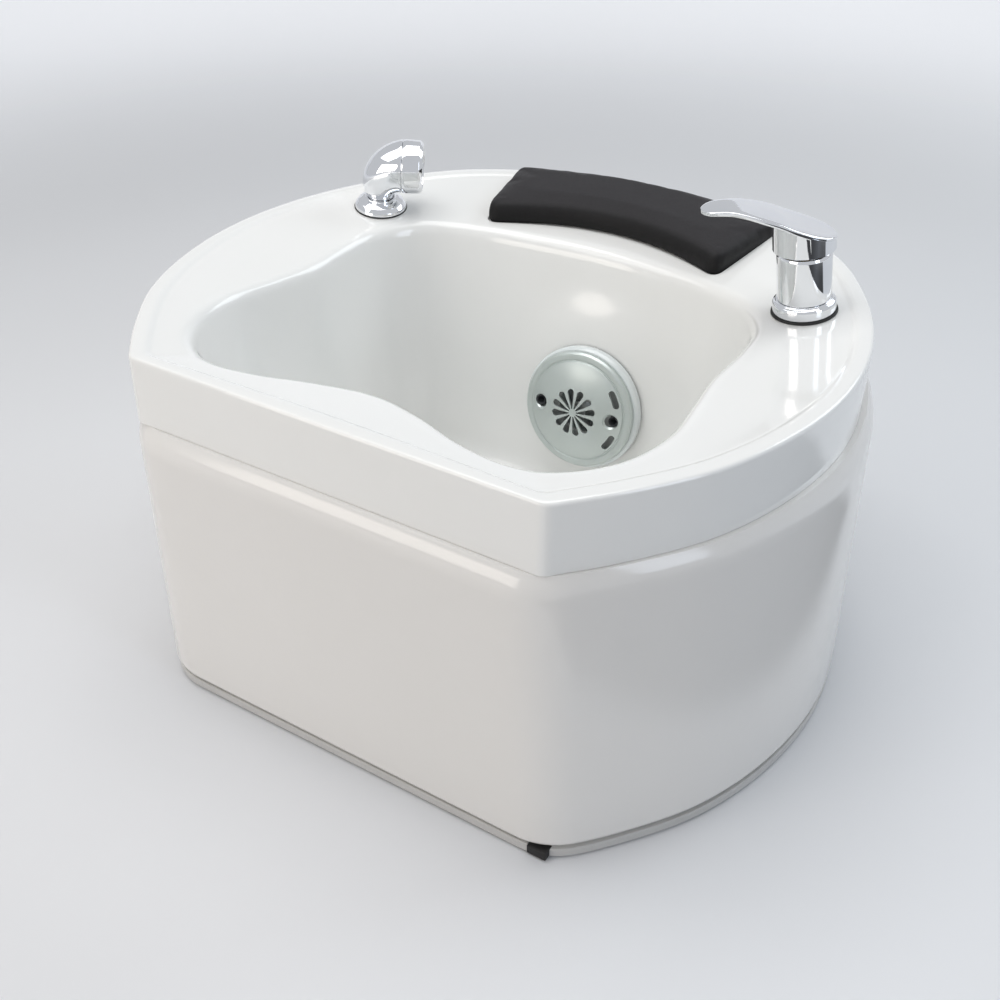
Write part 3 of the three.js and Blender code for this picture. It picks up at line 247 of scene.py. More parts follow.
# %% Rubber, plastics and hose
FINISH["rubber"] = finish(
    "black_rubber", colour(20, 20, 20), colour(36, 36, 35),
    lambda cloud, **_: cloud(90.0, 5) ** 2,
    clouds(160.0, 3, base=0.55, span=0.25),
    clouds(1400.0, 2), 0.0001)
FINISH["plastic"] = finish(
    "white_plastic", colour(226, 228, 227), colour(214, 217, 215),
    clouds(25.0, 4),
    clouds(60.0, 3, base=0.30, span=0.18),
    clouds(1200.0, 2), 0.00005)
FINISH["dark_plastic"] = finish(
    "dark_plastic", colour(52, 54, 57), colour(66, 68, 71),
    clouds(30.0, 4),
    clouds(80.0, 3, base=0.42, span=0.2),
    clouds(1000.0, 2), 0.0001)
FINISH["hose"] = finish(
    "braided_hose", colour(120, 124, 128), colour(186, 190, 194),
    lambda cells, stretched, **_: cells(520.0, at=stretched(1, 1, 0.6)) ** 0.8,
    clouds(90.0, 2, base=0.30, span=0.2),
    lambda cells, stretched, **_: cells(520.0, at=stretched(1, 1, 0.6)), 0.0004,
    Metallic=0.55)
print("dull finishes", sorted(FINISH))

# %% [markdown]
# ## Metals
# Chrome is a mirror that has been wiped: long faint streaks make its roughness vary a
# little, while its colour is almost even. Brass and zinc-plated steel are seen from below
# or where the lever lifts; they keep the fine turning marks of the lathe. The jet's cover
# is plastic plated with a silvery skin, softer than chrome and slightly green, in a ring
# of clear, pale plastic.

# %% Chrome, brass, steel and the jet's plating
FINISH["chrome"] = finish(
    "polished_chrome", colour(238, 239, 241), colour(226, 228, 231),
    clouds(30.0, 3),
    lambda cloud, stretched, **_: 0.025 + 0.05 * cloud(55.0, 4, at=stretched(1, 1, 0.25)) ** 2,
    clouds(70.0, 2), 0.00003,
    Metallic=1.0)
FINISH["brass"] = finish(
    "turned_brass", colour(192, 160, 92), colour(172, 138, 74),
    clouds(60.0, 5),
    lambda cloud, stretched, **_: 0.22 + 0.22 * cloud(40.0, 3, at=stretched(1, 1, 30)),
    lambda cloud, stretched, **_: cloud(40.0, 2, at=stretched(1, 1, 30)), 0.00008,
    Metallic=1.0)
FINISH["steel"] = finish(
    "zinc_plated_steel", colour(178, 183, 186), colour(158, 164, 169),
    lambda cells, **_: cells(220.0) ** 0.7,
    clouds(200.0, 3, base=0.24, span=0.2),
    lambda cells, **_: cells(260.0), 0.00005,
    Metallic=1.0)
FINISH["jet_silver"] = finish(
    "silver_plating", colour(204, 211, 208), colour(188, 196, 193),
    clouds(22.0, 4),
    clouds(18.0, 2, base=0.32, span=0.05),
    clouds(90.0, 2), 0.00002,
    Metallic=0.6)
FINISH["clear_ring"] = finish(
    "clear_ring", colour(228, 233, 233), colour(216, 223, 223),
    clouds(30.0, 4),
    clouds(60.0, 3, base=0.08, span=0.10),
    clouds(150.0, 2), 0.00005,
    Coat_Weight=0.5, Coat_Roughness=0.03)
print("metals", sorted(FINISH))

# %% [markdown]
# ## Vinyl
# The foot rest is covered in soft dark grey vinyl. Its grain is a net of shallow creases
# round small flat cells, about a millimetre and a half across, with softer, larger waves
# where the foam pushes. The creases are a little darker and duller than the cells. The
# sides are painted darker than the top, as painted shade where the light doesn't reach
# them; they meet at the rounded edge, so the mask between the two is the height over
# the tilted seat.

# %% Vinyl
SEAT_Y, SEAT_Z, SEAT_TILT = 0.187, 0.353, (-0.0785, 0.997)
PAINTED_SHADE_EDGE = (0.0195, 0.0245)


def painted_lit_top(start):
    """One on the foot rest's top, nothing on its sides, by the height over its seat; the sides get
    painted shade.
    """
    _, y, z = place(start)
    above = SEAT_TILT[1] * (z - SEAT_Z) + SEAT_TILT[0] * (y - SEAT_Y)
    return ramp(above, *PAINTED_SHADE_EDGE)


# The sides get a quarter of the top's tint: painted shade, since the light falls on the top only.
FINISH["vinyl"] = finish(
    "soft_vinyl", colour(8, 8, 8), colour(42, 40, 42),
    lambda start, cloud, cells, **_: (0.25 + 0.75 * painted_lit_top(start)) * (
        0.45 + 0.45 * cells(650.0, "DISTANCE_TO_EDGE") ** 0.3 + 0.2 * cloud(24.0, 4)),
    lambda cloud, cells, **_: (
        0.62 - 0.22 * cells(650.0, "DISTANCE_TO_EDGE") ** 0.5 + 0.08 * cloud(30.0, 3)),
    lambda cloud, cells, **_: (
        cells(650.0, "DISTANCE_TO_EDGE") ** 0.4 * 0.6 + cloud(120.0, 3) * 0.4),
    0.00025,
    Specular_IOR_Level=0.22, Sheen_Weight=0.02, Sheen_Roughness=0.4)
print("finishes", len(FINISH))

# %% [markdown]
# ## Floor and light
# White on white needs a quiet set: a pale floor that runs up into a pale backdrop, a
# large soft light overhead and a smaller one at the left for the top faces, a warm one
# in front for the skirt, and cool ones at the right and behind. The right side is left
# darker, which shows the skirt's roundness. Chrome looks like chrome only when it has
# something dark to mirror, so the floor at the right is painted dark for reflections alone:
# a painted dark reflection where a photographer would lay a dark cloth and crop it away.

# %% Floor and backdrop
def sweep_floor(front=-3.2, back=2.2, radius=0.9, top=1.5, half=4.5):
    """A floor that curves up behind the tub, as one smooth sheet."""
    profile = [(front, 0.0), (back, 0.0)]
    profile += [(back + radius * math.sin(a), radius - radius * math.cos(a))
                for a in np.linspace(0.05, math.pi / 2, 14)]
    profile += [(back + radius, top)]
    points = [(x, y, z) for x in (-half, half) for y, z in profile]
    n = len(profile)
    faces = [(i, i + 1, n + i + 1, n + i) for i in range(n - 1)]
    mesh = bpy.data.meshes.new("floor")
    mesh.from_pydata(points, [], faces)
    mesh.shade_smooth()
    floor = bpy.data.objects.new("floor", mesh)
    bpy.context.collection.objects.link(floor)
    mesh.transform(Matrix.Rotation(WALKED_ROUND, 4, "Z"))
    return floor


DARK_REFLECTION_X, DARK_REFLECTION_Y, GLOW_FROM_TO = (0.42, 2.2), (-1.2, 0.42), (1.3, 3.0)


def painted_dark_reflection(start):
    """One on the floor at the right of the tub, and only for rays from a reflection: a painted dark
    reflection.
    """
    x, y, _ = place(start)
    mirrored = start.node("ShaderNodeLightPath", output="Is Glossy Ray")
    across = ramp(x, DARK_REFLECTION_X[0], 0.50) * ramp(DARK_REFLECTION_X[1] - x, 0, 0.2)
    along = ramp(y, DARK_REFLECTION_Y[0], -1.0) * ramp(DARK_REFLECTION_Y[1] - y, 0, 0.08)
    return mirrored * across * along


def looked_at(start, *kinds):
    """One for rays of these kinds, such as those from the camera or from a mirror."""
    path = start.node("ShaderNodeLightPath").output.node.outputs
    return sum(Socket(start.tree, path["Is %s Ray" % kind]) for kind in kinds)


def far_glow(start, **_):
    """The backdrop's own light, which grows with the distance from the tub."""
    x, y, _ = place(start)
    return looked_at(start, "Camera", "Glossy") * ramp((x * x + y * y) ** 0.5, *GLOW_FROM_TO)


floor = sweep_floor()
# The dark tint is a painted dark reflection, seen only in chrome and glossy skins.
floor.data.materials.append(finish(
    "studio_floor", colour(228, 229, 231), colour(22, 22, 24),
    lambda start, cloud, **_: painted_dark_reflection(start) + 0.03 * cloud(1.2, 3),
    clouds(5.0, 2, base=0.62, span=0.1), glow=far_glow, Emission_Strength=1.0))
print("floor", len(floor.data.polygons), "faces")

# %% Lights
def softbox(name, at, size, watts, towards=(0, 0, 0.25), tint=(1, 1, 1)):
    lamp = bpy.data.lights.new(name, "AREA")
    lamp.shape, lamp.size, lamp.size_y = "RECTANGLE", *size
    lamp.energy, lamp.color = watts, tint
    holder = bpy.data.objects.new(name, lamp)
    holder.location = at
    holder.rotation_euler = (Vector(towards) - Vector(at)).to_track_quat("-Z", "Y").to_euler()
    bpy.context.collection.objects.link(holder)


softbox("over", (-0.2, 0.1, 2.6), (1.8, 1.8), 29)
softbox("key", (-1.1, -0.9, 2.3), (1.6, 1.6), 13)
softbox("front", (-0.9, -2.4, 0.9), (1.6, 1.2), 19, tint=(1, 0.93, 0.86))
softbox("right", (2.1, -0.5, 1.1), (0.6, 1.4), 9, tint=(0.8, 0.88, 1))
softbox("back", (1.2, 1.8, 1.8), (1.2, 1.2), 15, tint=(0.88, 0.95, 1))
world = bpy.data.worlds.new("studio")
world.use_nodes = True
world.node_tree.nodes.clear()
sky = Socket(world.node_tree)
FILL_LIGHT, SKY_SEEN = 0.21, 0.44
strength = FILL_LIGHT + SKY_SEEN * looked_at(sky, "Camera", "Glossy", "Transmission")
lit = sky.node("ShaderNodeBackground", {}, {"Color": (0.94, 0.96, 1, 1), "Strength": strength})
sky.node("ShaderNodeOutputWorld", {}, {"Surface": lit})
bpy.context.scene.world = world
bpy.context.scene.view_settings.view_transform = "Standard"

# %% [markdown]
# ## Making a piece from points
# Most pieces of this tub are skins: rows of points joined by four-sided faces. A maker
# thinks of a turned profile, a lofted section or a cut-out plate, so there is one helper
# for each. All sizes are in millimetres until the last step, which puts the piece in its
# place in metres.

# %% Skins through rings of points
MM = Matrix.Scale(0.001, 4)


def solid(name, points, faces, at=Matrix()):
    """A closed mesh from millimetre points, in place, its faces looking out."""
    mesh = bpy.data.meshes.new(name)
    mesh.from_pydata([tuple(p) for p in points], [], faces)
    mesh.transform(MM @ at)
    sheet = bmesh.new()
    sheet.from_mesh(mesh)
    bmesh.ops.remove_doubles(sheet, verts=sheet.verts, dist=1e-7)
    if sheet.calc_volume(signed=True) < 0:
        bmesh.ops.reverse_faces(sheet, faces=sheet.faces)
    sheet.to_mesh(mesh)
    sheet.free()
    piece = bpy.data.objects.new(name, mesh)
    bpy.context.collection.objects.link(piece)
    return piece


def loft(name, rings, at=Matrix(), closed=False):
    """A skin through rings of equal count, capped at both ends or round on itself."""
    n, last = len(rings[0]), len(rings) - (0 if closed else 1)
    points = [p for ring in rings for p in ring]
    faces = []
    for j in range(last):
        k = (j + 1) % len(rings)
        faces += [(j * n + i, j * n + (i + 1) % n, k * n + (i + 1) % n, k * n + i)
                  for i in range(n)]
    if not closed:
        for j in (0, len(rings) - 1):
            points.append(sum((Vector(p) for p in rings[j]), Vector()) / n)
            hub = len(points) - 1
            order = range(n) if j else range(n - 1, -1, -1)
            faces += [(j * n + i, j * n + (i + 1) % n, hub) if j else
                      (j * n + (i + 1) % n, j * n + i, hub) for i in order]
    return solid(name, points, faces, at)


# %% [markdown]
# A turned piece is a profile spun round an axis. Real edges are never razor sharp, so
# each corner of a profile is first eased by a few tenths of a millimetre, which is what
# catches the light on a chromed rim.

# %% Turned pieces
def eased(profile, ease=0.5, steps=3, closed=False):
    """The profile with each corner replaced by a short bend."""
    out, n = [], len(profile)
    for i, point in enumerate(profile):
        b = Vector(point)
        if not closed and i in (0, n - 1) or abs(b.x) < 1e-6:
            out.append(b)
            continue
        a, c = Vector(profile[i - 1]), Vector(profile[(i + 1) % n])
        run = min(ease, 0.45 * (a - b).length, 0.45 * (c - b).length)
        if (b - a).angle(c - b, 0) < math.radians(9):
            out.append(b)
            continue
        p, q = b + (a - b).normalized() * run, b + (c - b).normalized() * run
        out += [p.lerp(b, t).lerp(b.lerp(q, t), t) for t in np.linspace(0, 1, steps + 1)]
    return out


def turned(name, profile, at=Matrix(), facets=96, ease=0.5):
    """A profile of (radius, height) pairs turned round Z; one off the axis is a ring."""
    ring = profile[0][0] > 1e-6
    line = eased(profile, ease, closed=ring)
    angles = [2 * math.pi * i / facets for i in range(facets)]
    rows = [[(0, 0, p.y)] if p.x < 1e-6 else
            [(p.x * math.cos(a), p.x * math.sin(a), p.y) for a in angles] for p in line]
    points, starts = [], []
    for row in rows:
        starts.append(len(points))
        points += row
    faces = []
    for j in range(len(rows) - (0 if ring else 1)):
        k = (j + 1) % len(rows)
        low, high = starts[j], starts[k]
        for i in range(facets):
            m = (i + 1) % facets
            if len(rows[j]) > 1 and len(rows[k]) > 1:
                faces.append((low + i, low + m, high + m, high + i))
            elif len(rows[j]) > 1:
                faces.append((low + i, low + m, high))
            elif len(rows[k]) > 1:
                faces.append((low, high + m, high + i))
    return solid(name, points, faces, at)


def plate(name, outline, low, high, at=Matrix()):
    """An outline in the XY plane given a thickness."""
    n = len(outline)
    points = [(x, y, low) for x, y in outline] + [(x, y, high) for x, y in outline]
    faces = [tuple(reversed(range(n))), tuple(range(n, 2 * n))]
    faces += [(i, (i + 1) % n, n + (i + 1) % n, n + i) for i in range(n)]
    return solid(name, points, faces, at)


def block(name, centre, size, at=Matrix()):
    """A square-edged tool for cutting: the middle of its underside, and its sizes."""
    (x, y, z), (w, d, h) = centre, size
    signs = ((-1, -1), (1, -1), (1, 1), (-1, 1))
    return plate(name, [(x + i * w / 2, y + j * d / 2) for i, j in signs], z, z + h, at)


def rod(name, radius, low, high, at=Matrix(), facets=96):
    return turned(name, [(0, low), (radius, low), (radius, high), (0, high)], at, facets, ease=0)


# %% [markdown]
# Where the maker drills a hole or glues two mouldings together, a Boolean modifier does
# the same to the mesh. It is applied at once, and the tool is thrown away.

# %% Cutting and joining
def apply_modifiers(piece):
    """Turns what the modifiers make of a piece into its own plain mesh."""
    view = bpy.context.evaluated_depsgraph_get()
    view.update()
    piece.data = bpy.data.meshes.new_from_object(piece.evaluated_get(view))
    piece.modifiers.clear()


def worked(piece, tool, operation="DIFFERENCE"):
    """Cuts a piece with a tool, or joins the tool to it."""
    change = piece.modifiers.new("work", "BOOLEAN")
    change.operation, change.solver, change.object = operation, "MANIFOLD", tool
    before = len(piece.data.polygons)
    apply_modifiers(piece)
    bpy.data.objects.remove(tool)
    after = len(piece.data.polygons)
    if not after or (operation != "UNION" and after == before):
        print("look at", piece.name, operation, before, after)


def keep(piece, slot, body, *nodes, sharp=35, skin=None):
    """Shades a finished piece, gives it its finish and body, and hides what it stands for."""
    mesh = piece.data
    mesh.name = piece.name
    mesh.materials.clear()
    mesh.materials.append(FINISH[skin or slot])
    mesh.shade_smooth()
    mesh.set_sharp_from_angle(angle=math.radians(sharp))
    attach(piece, body)
    if nodes:
        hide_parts(*nodes)
    low, high = Vector(piece.bound_box[0]), Vector(piece.bound_box[6])
    print(piece.name, len(mesh.polygons), "faces", [round(v * 1000) for v in (high - low)], "mm")


# %% [markdown]
# ## The plan of the tub
# Seen from above, the tub is a straight front edge with a round back. Three curves decide
# everything: the deck's edge, the mouth of the well and the outline of its floor. Each is
# a smooth curve through a few measured points, drawn for the right half and mirrored.

# %% Sizes and plan points
HALF, DEPTH, HEIGHT = 338.0, 615.0, 370.0
HUB = Vector((0, 0.41 * DEPTH))
CORNER = (0.618, 0)
DECK_SIDE = [(0.744, 0.078), (0.879, 0.185), (0.967, 0.315), (1, 0.455), (0.966, 0.6),
             (0.862, 0.742), (0.684, 0.876), (0.4, 0.964), (0, 1)]
MOUTH = [(0, 0.133), (0.148, 0.115), (0.3, 0.083), (0.435, 0.073), (0.56, 0.098), (0.648, 0.155),
         (0.683, 0.25), (0.663, 0.345), (0.642, 0.43), (0.648, 0.52), (0.632, 0.6), (0.545, 0.672),
         (0.385, 0.715), (0.18, 0.738), (0, 0.746)]
FLOOR = [(0, 0.262), (0.15, 0.235), (0.32, 0.198), (0.45, 0.205), (0.53, 0.27), (0.545, 0.37),
         (0.535, 0.47), (0.535, 0.56), (0.475, 0.62), (0.3, 0.645), (0, 0.65)]
TUB = Matrix.Translation((0, -311, HEIGHT))


def both_halves(points):
    right = [(u * HALF, v * DEPTH) for u, v in points]
    return right + [(-x, y) for x, y in reversed(right[:-1])]


def through(points, closed, count):
    """Evenly spaced points on a smooth curve through the points given."""
    knots = [Vector(p) for p in points]
    n, line = len(knots), []
    for i in range(n if closed else n - 1):
        b, c = knots[i], knots[(i + 1) % n]
        a = knots[i - 1] if closed or i else 2 * b - c
        d = knots[(i + 2) % n] if closed or i < n - 2 else 2 * c - b
        s, t, u = (a - b).length ** 0.5, (b - c).length ** 0.5, (c - d).length ** 0.5
        leave = ((b - a) / s - (c - a) / (s + t) + (c - b) / t) * t
        arrive = ((c - b) / t - (d - b) / (t + u) + (d - c) / u) * t
        for k in (i / 40 for i in range(40)):
            line.append(b + k * leave + k * k * (3 * (c - b) - 2 * leave - arrive)
                        + k ** 3 * (2 * (b - c) + leave + arrive))
    line.append(knots[0] if closed else knots[-1])
    line = np.array(line)
    far = np.concatenate([[0], np.cumsum(np.linalg.norm(np.diff(line, axis=0), axis=1))])
    even = np.linspace(0, far[-1], count + 1 if closed else count)
    spaced = np.stack([np.interp(even, far, line[:, k]) for k in range(line.shape[1])], axis=1)
    return spaced[:-1] if closed else spaced


# %% The deck's edge, moved out and with eased corners
def tub_outline(side=0.0, front=0.0, ease=0.0):
    """The deck's edge moved out by a distance at its sides and at its front."""
    curve = through(both_halves([CORNER, *DECK_SIDE]), False, 601)
    run = np.gradient(curve, axis=0)
    run /= np.linalg.norm(run, axis=1)[:, None]
    moved = (curve + side * np.stack([run[:, 1], -run[:, 0]], axis=1))[:301]
    moved = np.vstack([moved[0] - 12 * (moved[10] - moved[0]), moved])
    first = int(np.argmax(moved[:, 1] > -front))
    p, q = moved[first - 1], moved[first]
    corner = p + (q - p) * (-front - p[1]) / (q[1] - p[1])
    away = np.linalg.norm(moved - corner, axis=1)
    start = next(i for i in range(first, len(moved)) if away[i] > ease)
    rounded = [corner]
    if ease:
        a, c = np.array([corner[0] - ease, -front]), moved[start]
        rounded = [(1 - t) ** 2 * a + 2 * t * (1 - t) * corner + t * t * c
                   for t in np.linspace(0, 1, 25)[:-1]]
    right = np.vstack([rounded, moved[start:]])
    return np.vstack([right, right[:-1][::-1] * (-1, 1)])


def reach(outline, angle):
    """Where a ray from the hub leaves an outline, and the outline's direction outwards."""
    ray = np.array([math.cos(angle), math.sin(angle)])
    edge = np.roll(outline, -1, axis=0) - outline
    to = outline - np.array(HUB)
    wide = ray[0] * edge[:, 1] - ray[1] * edge[:, 0]
    wide[np.abs(wide) < 1e-12] = 1e-12
    far = (to[:, 0] * edge[:, 1] - to[:, 1] * edge[:, 0]) / wide
    along = (to[:, 0] * ray[1] - to[:, 1] * ray[0]) / wide
    i = int(np.argmax((far > 0) & (along >= -1e-9) & (along <= 1 + 1e-9)))
    out = Vector((edge[i, 1], -edge[i, 0])).normalized()
    return HUB + Vector(ray) * float(far[i]), out


# %% Spokes from the hub over the drain
CORNER_ANGLE = math.atan2(-HUB.y, CORNER[0] * HALF)
BESIDE = [0.25, 0.5, 0.75, 1.0, 1.3, 1.7, 2.2, 2.8, 3.5, 4.4]


def spokes(start, end, count):
    near = [math.radians(v) for v in BESIDE]
    even = list(np.linspace(start + near[-1], end - near[-1], count + 1))[1:-1]
    return [start, *[start + v for v in near], *even, *[end - v for v in reversed(near)]]


ANGLES = (spokes(-math.pi - CORNER_ANGLE, CORNER_ANGLE, 60)
          + spokes(CORNER_ANGLE, math.pi - CORNER_ANGLE, 190))
edge_line = tub_outline(ease=7)
mouth_line, floor_line = (through(both_halves(p)[:-1], True, 720) for p in (MOUTH, FLOOR))
EDGE = [reach(edge_line, a) for a in ANGLES]
MOUTH_AT = [reach(mouth_line, a)[0] for a in ANGLES]
FLOOR_AT = [reach(floor_line, a)[0] for a in ANGLES]
print("spokes", len(ANGLES), "deck", [round(v) for v in np.ptp(edge_line, axis=0)], "mm")

# %% [markdown]
# ## The acrylic shell
# The real shell is one sheet, heated and drawn down into a mould: the drain's sump, a
# floor with a generous fillet, straight walls, a rolled mouth, a deck that falls 8
# degrees inwards, a flat lip and a turned-down rim. The same profile is drawn on each of
# some 290 spokes from the drain, with the underside one wall thickness behind, and the
# skin through all of them is the shell. Each fitting has a frame, a matrix that says
# where its seat is and which way it points.

# %% Frames of the fittings
def seat_frame(origin, axis, heading):
    z = Vector(axis).normalized()
    x = (Vector(heading) - z * Vector(heading).dot(z)).normalized()
    frame_axes = Matrix((x, z.cross(x), z)).transposed().to_4x4()
    return Matrix.Translation(origin) @ frame_axes


def deck_fitting(side):
    """The seat of the mixer at the right, 1, or of the shower at the left, -1."""
    return seat_frame((side * 247.0023, 101.0041, 362.1503),
                      (-side * 0.11684, -0.07562, 0.99027), (-side * 0.8396, -0.5432, 0))


TAP, SHOWER = deck_fitting(1), deck_fitting(-1)
JET = seat_frame((17, 111.0295, 183.5), (0, -0.98481, 0.17365), (1, 0, 0))
DRAIN = Matrix.Translation((0, -58.85, 79))
PAD = seat_frame((0, 187.0057, 353), (0, -0.07846, 0.99692), (1, 0, 0))

# %% Profile of the shell on one spoke
FALL, LIP, STEP_IN, WALL = math.tan(math.radians(8)), 14.0, 20.0, 5.0
FLOOR_Z, SUMP_Z, RIM_Z = -288.0, -291.0, -64.0
FLARE = (0.0, 2.5)
ROLL, FILLET, WALL_ROWS = 13.0, 32.0, 21
FLAT_BY_JET, LEAN_FROM_JET, NEAR_WALL = 73.0, 135.0, 30.0


def deck_height(inward):
    return -3 - FALL * max(0.0, inward - STEP_IN)


def by_side(sizes, out):
    """A size given for the sides and for the front, turning from one to the other."""
    share = max(0.0, -out.y) ** 2 / out.length_squared
    return sizes[0] + (sizes[1] - sizes[0]) * share


def bend(a, b, c, steps):
    return [a.lerp(b, t).lerp(b.lerp(c, t), t) for t in np.linspace(0, 1, steps + 1)]


def flat_point(p, z):
    return Vector((p.x, p.y, z))


def beside_jet(point):
    """The wall leans smoothly into the flat, tilted plane that the jet's housing needs."""
    seen = JET.inverted() @ TUB @ point
    away = math.hypot(seen.x, seen.y)
    share = min(1.0, max(0.0, (LEAN_FROM_JET - away) / (LEAN_FROM_JET - FLAT_BY_JET)))
    if not share or abs(seen.z) > NEAR_WALL:
        return point
    share *= share * (3 - 2 * share)
    return (TUB.inverted() @ JET) @ Vector((seen.x, seen.y, seen.z + (1 - seen.z) * share))


def wet_profile(i):
    (edge, out), mouth, foot = EDGE[i], MOUTH_AT[i], FLOOR_AT[i]
    width, inside = (edge - mouth).length, (foot - HUB).length
    deck = lambda inward: flat_point(edge.lerp(mouth, inward / width), deck_height(inward))
    lip = lambda inward, z: flat_point(edge.lerp(mouth, inward / width), z)
    floor_at = lambda r, z: flat_point(HUB.lerp(foot, r / inside), z)
    top, floor_edge = deck(width - 2), flat_point(foot, FLOOR_Z)
    wall = lambda down: top.lerp(floor_edge, down / (top.z - FLOOR_Z))
    high, low = wall(ROLL), wall(top.z - FLOOR_Z - FILLET)
    line = [floor_at(23, SUMP_Z + 0.2), floor_at(42, SUMP_Z + 0.2)]
    line += bend(floor_at(43, SUMP_Z), floor_at(49, SUMP_Z), floor_at(56, FLOOR_Z), 4)
    line += [floor_at(min(64, inside - FILLET - 1), FLOOR_Z)]
    line += bend(floor_at(inside - FILLET, FLOOR_Z), floor_edge, low, 10)
    line += [low.lerp(high, t / WALL_ROWS) for t in range(1, WALL_ROWS)]
    line += bend(high, top, deck(width - ROLL), 8)
    span = width - ROLL - STEP_IN - 1.5
    line += [deck(STEP_IN + 1.5 + span * t) for t in (0.85, 0.7, 0.55, 0.4, 0.25, 0.1)]
    line += bend(deck(STEP_IN + 1.5), lip(STEP_IN - 1, -3), lip(17, -1.5), 3)[:-1]
    line += bend(lip(17, -1.5), lip(LIP, 0), lip(LIP - 2, 0), 3)
    line += bend(lip(4.2, 0), lip(0, 0), flat_point(edge, -4.2), 5)
    flare = lambda t: flat_point(edge + out * by_side(FLARE, out) * t, -4 + (RIM_Z + 4) * t)
    return [beside_jet(p) for p in line] + [flare(t) for t in (0.25, 0.5, 0.75, 1.0)]


# %% The underside, one wall behind
def dry_profile(i, line):
    runs = []
    for p, q in zip(line, line[1:]):
        step = Vector((q.x - p.x, q.y - p.y))
        sign = 1 if step.dot(Vector((q.x, q.y)) - HUB) >= 0 else -1
        runs.append(Vector((sign * step.length, q.z - p.z)).normalized())
    away = (Vector((line[-1].x, line[-1].y)) - HUB).normalized()
    dry = []
    for k, point in enumerate(line):
        a, b = runs[max(0, k - 1)], runs[min(len(runs) - 1, k)]
        n = Vector((a.y + b.y, -(a.x + b.x))).normalized()
        mitre = WALL * min(1.6, 1 / (n.x * a.y - n.y * a.x))
        dry.append(Vector((point.x + away.x * n.x * mitre, point.y + away.y * n.x * mitre,
                           point.z + n.y * mitre)))
    edge, out = EDGE[i]
    dry[-1] = flat_point(edge + out * (by_side(FLARE, out) - WALL), RIM_Z)
    dry[0].z = dry[1].z = SUMP_Z - 9
    return dry


wet = [wet_profile(i) for i in range(len(ANGLES))]
dry = [dry_profile(i, line) for i, line in enumerate(wet)]
rings = [[line[k] for line in wet] for k in range(len(wet[0]))]
rings += [[line[k] for line in dry] for k in reversed(range(len(dry[0])))]
shell = loft("basin_skin", rings, TUB, closed=True)
print("shell rings", len(rings), "faces", len(shell.data.polygons))

# %% [markdown]
# The fittings need flat, round seats on the curved sheet, and holes through it. They are
# made as the moulder makes them: a thicker boss is joined on, then it is drilled.

# %% The pad's plan and its seat in the deck
PAD_FRONT, PAD_BACK, PAD_BOW = (137.0, -42.0), (160.0, 71.0), (40.0, 27.0)


def pad_plan(margin, back=0.0, ease=15.0, steps=48):
    """Two arcs and two straight ends, grown by a margin, with round corners in front."""
    splay = (PAD_BACK[0] - PAD_FRONT[0]) / (PAD_BACK[1] - PAD_FRONT[1])
    wide = PAD_BACK[0] + margin + back * splay
    corner = Vector((PAD_FRONT[0] + margin, PAD_FRONT[1] - margin))
    behind = Vector((wide, PAD_BACK[1] + margin + back))
    turn = np.linspace(-1, 1, steps + 1) * (1 - ease / corner.x)
    front = [Vector((t * corner.x, corner.y + PAD_BOW[0] * (1 - t * t))) for t in turn]
    beside = bend(front[-1], corner, corner.lerp(behind, ease / (behind - corner).length), 8)[1:]
    rear = [(-t * wide, behind.y + PAD_BOW[1] * (1 - t * t))
            for t in np.linspace(-1, 1, steps + 1)]
    return [(-p.x, p.y) for p in reversed(beside)] + [tuple(p) for p in front + beside] + rear


def deck_ring(inward, z=None):
    ring = []
    for (edge, _), mouth in zip(EDGE, MOUTH_AT):
        width = (edge - mouth).length
        s = min(inward, width - ROLL)
        level = (deck_height(s) if inward > LIP else 0) - 1
        ring.append(flat_point(edge.lerp(mouth, s / width), level if z is None else z))
    return ring


thick_deck = loft("thick_deck", [deck_ring(150), deck_ring(STEP_IN), deck_ring(LIP), deck_ring(4),
                                 deck_ring(4, -40), deck_ring(150, -40)], TUB, closed=True)
SEAT_GAP, PAST_THE_EDGE = 0.7, 60
seat_plan = pad_plan(WALL + 1.2, PAST_THE_EDGE)
worked(thick_deck, plate("seat_floor", seat_plan, -WALL, 60, PAD), "INTERSECT")
worked(shell, thick_deck, "UNION")
worked(shell, plate("seat_room", pad_plan(SEAT_GAP, PAST_THE_EDGE), 0, 60, PAD))
print("seat cut", len(shell.data.polygons))

# %% Bosses and holes for mixer, shower, jet and pad studs
worked(shell, rod("tap_boss", 31, -9, 0, TAP), "UNION")
worked(shell, rod("shower_boss", 29, -9, 0, SHOWER), "UNION")
worked(shell, rod("jet_boss", 70, -9, 1.05, JET), "UNION")
worked(shell, rod("tap_hole", 18, -40, 20, TAP))
worked(shell, rod("shower_hole", 15, -40, 20, SHOWER))
worked(shell, rod("jet_hole", 46, -40, 40, JET))
STUDS = [(-81.6, 61.8), (81.6, 61.8)]
for x, y in STUDS:
    worked(shell, rod("stud_hole", 4, -30, 30, PAD @ Matrix.Translation((x, y, 0)), 32))
keep(shell, "acrylic", "tub", "basin_shell", sharp=28)

# %% [markdown]
# ## Skirt and plinth
# The skirt is a second moulding that the tub hangs in: a soft sloping shoulder under the
# rim, a slightly flared wall and a rounded foot that turns in. Its section is drawn once
# and carried round the plan. The satin plinth under it is set back, so the skirt seems
# to float, and a black rubber block closes the joint in its front right corner.

# %% Plan lines that the sections ride on
SKIRT_SHIFT = Vector((5.0, 0.0))


def plan_line(side, front):
    """The deck's edge moved out, and a little to the right, as the skirt hangs."""
    line = tub_outline(side, front, 30)
    return [reach(line, a)[0] + SKIRT_SHIFT for a in ANGLES]


def ring_body(name, section):
    """A closed section round the tub: each corner lies a share of the way between two lines."""
    rings = [[flat_point(p.lerp(q, share), z) for p, q in zip(start, end)]
             for start, end, share, z in section]
    return loft(name, rings, TUB, closed=True)


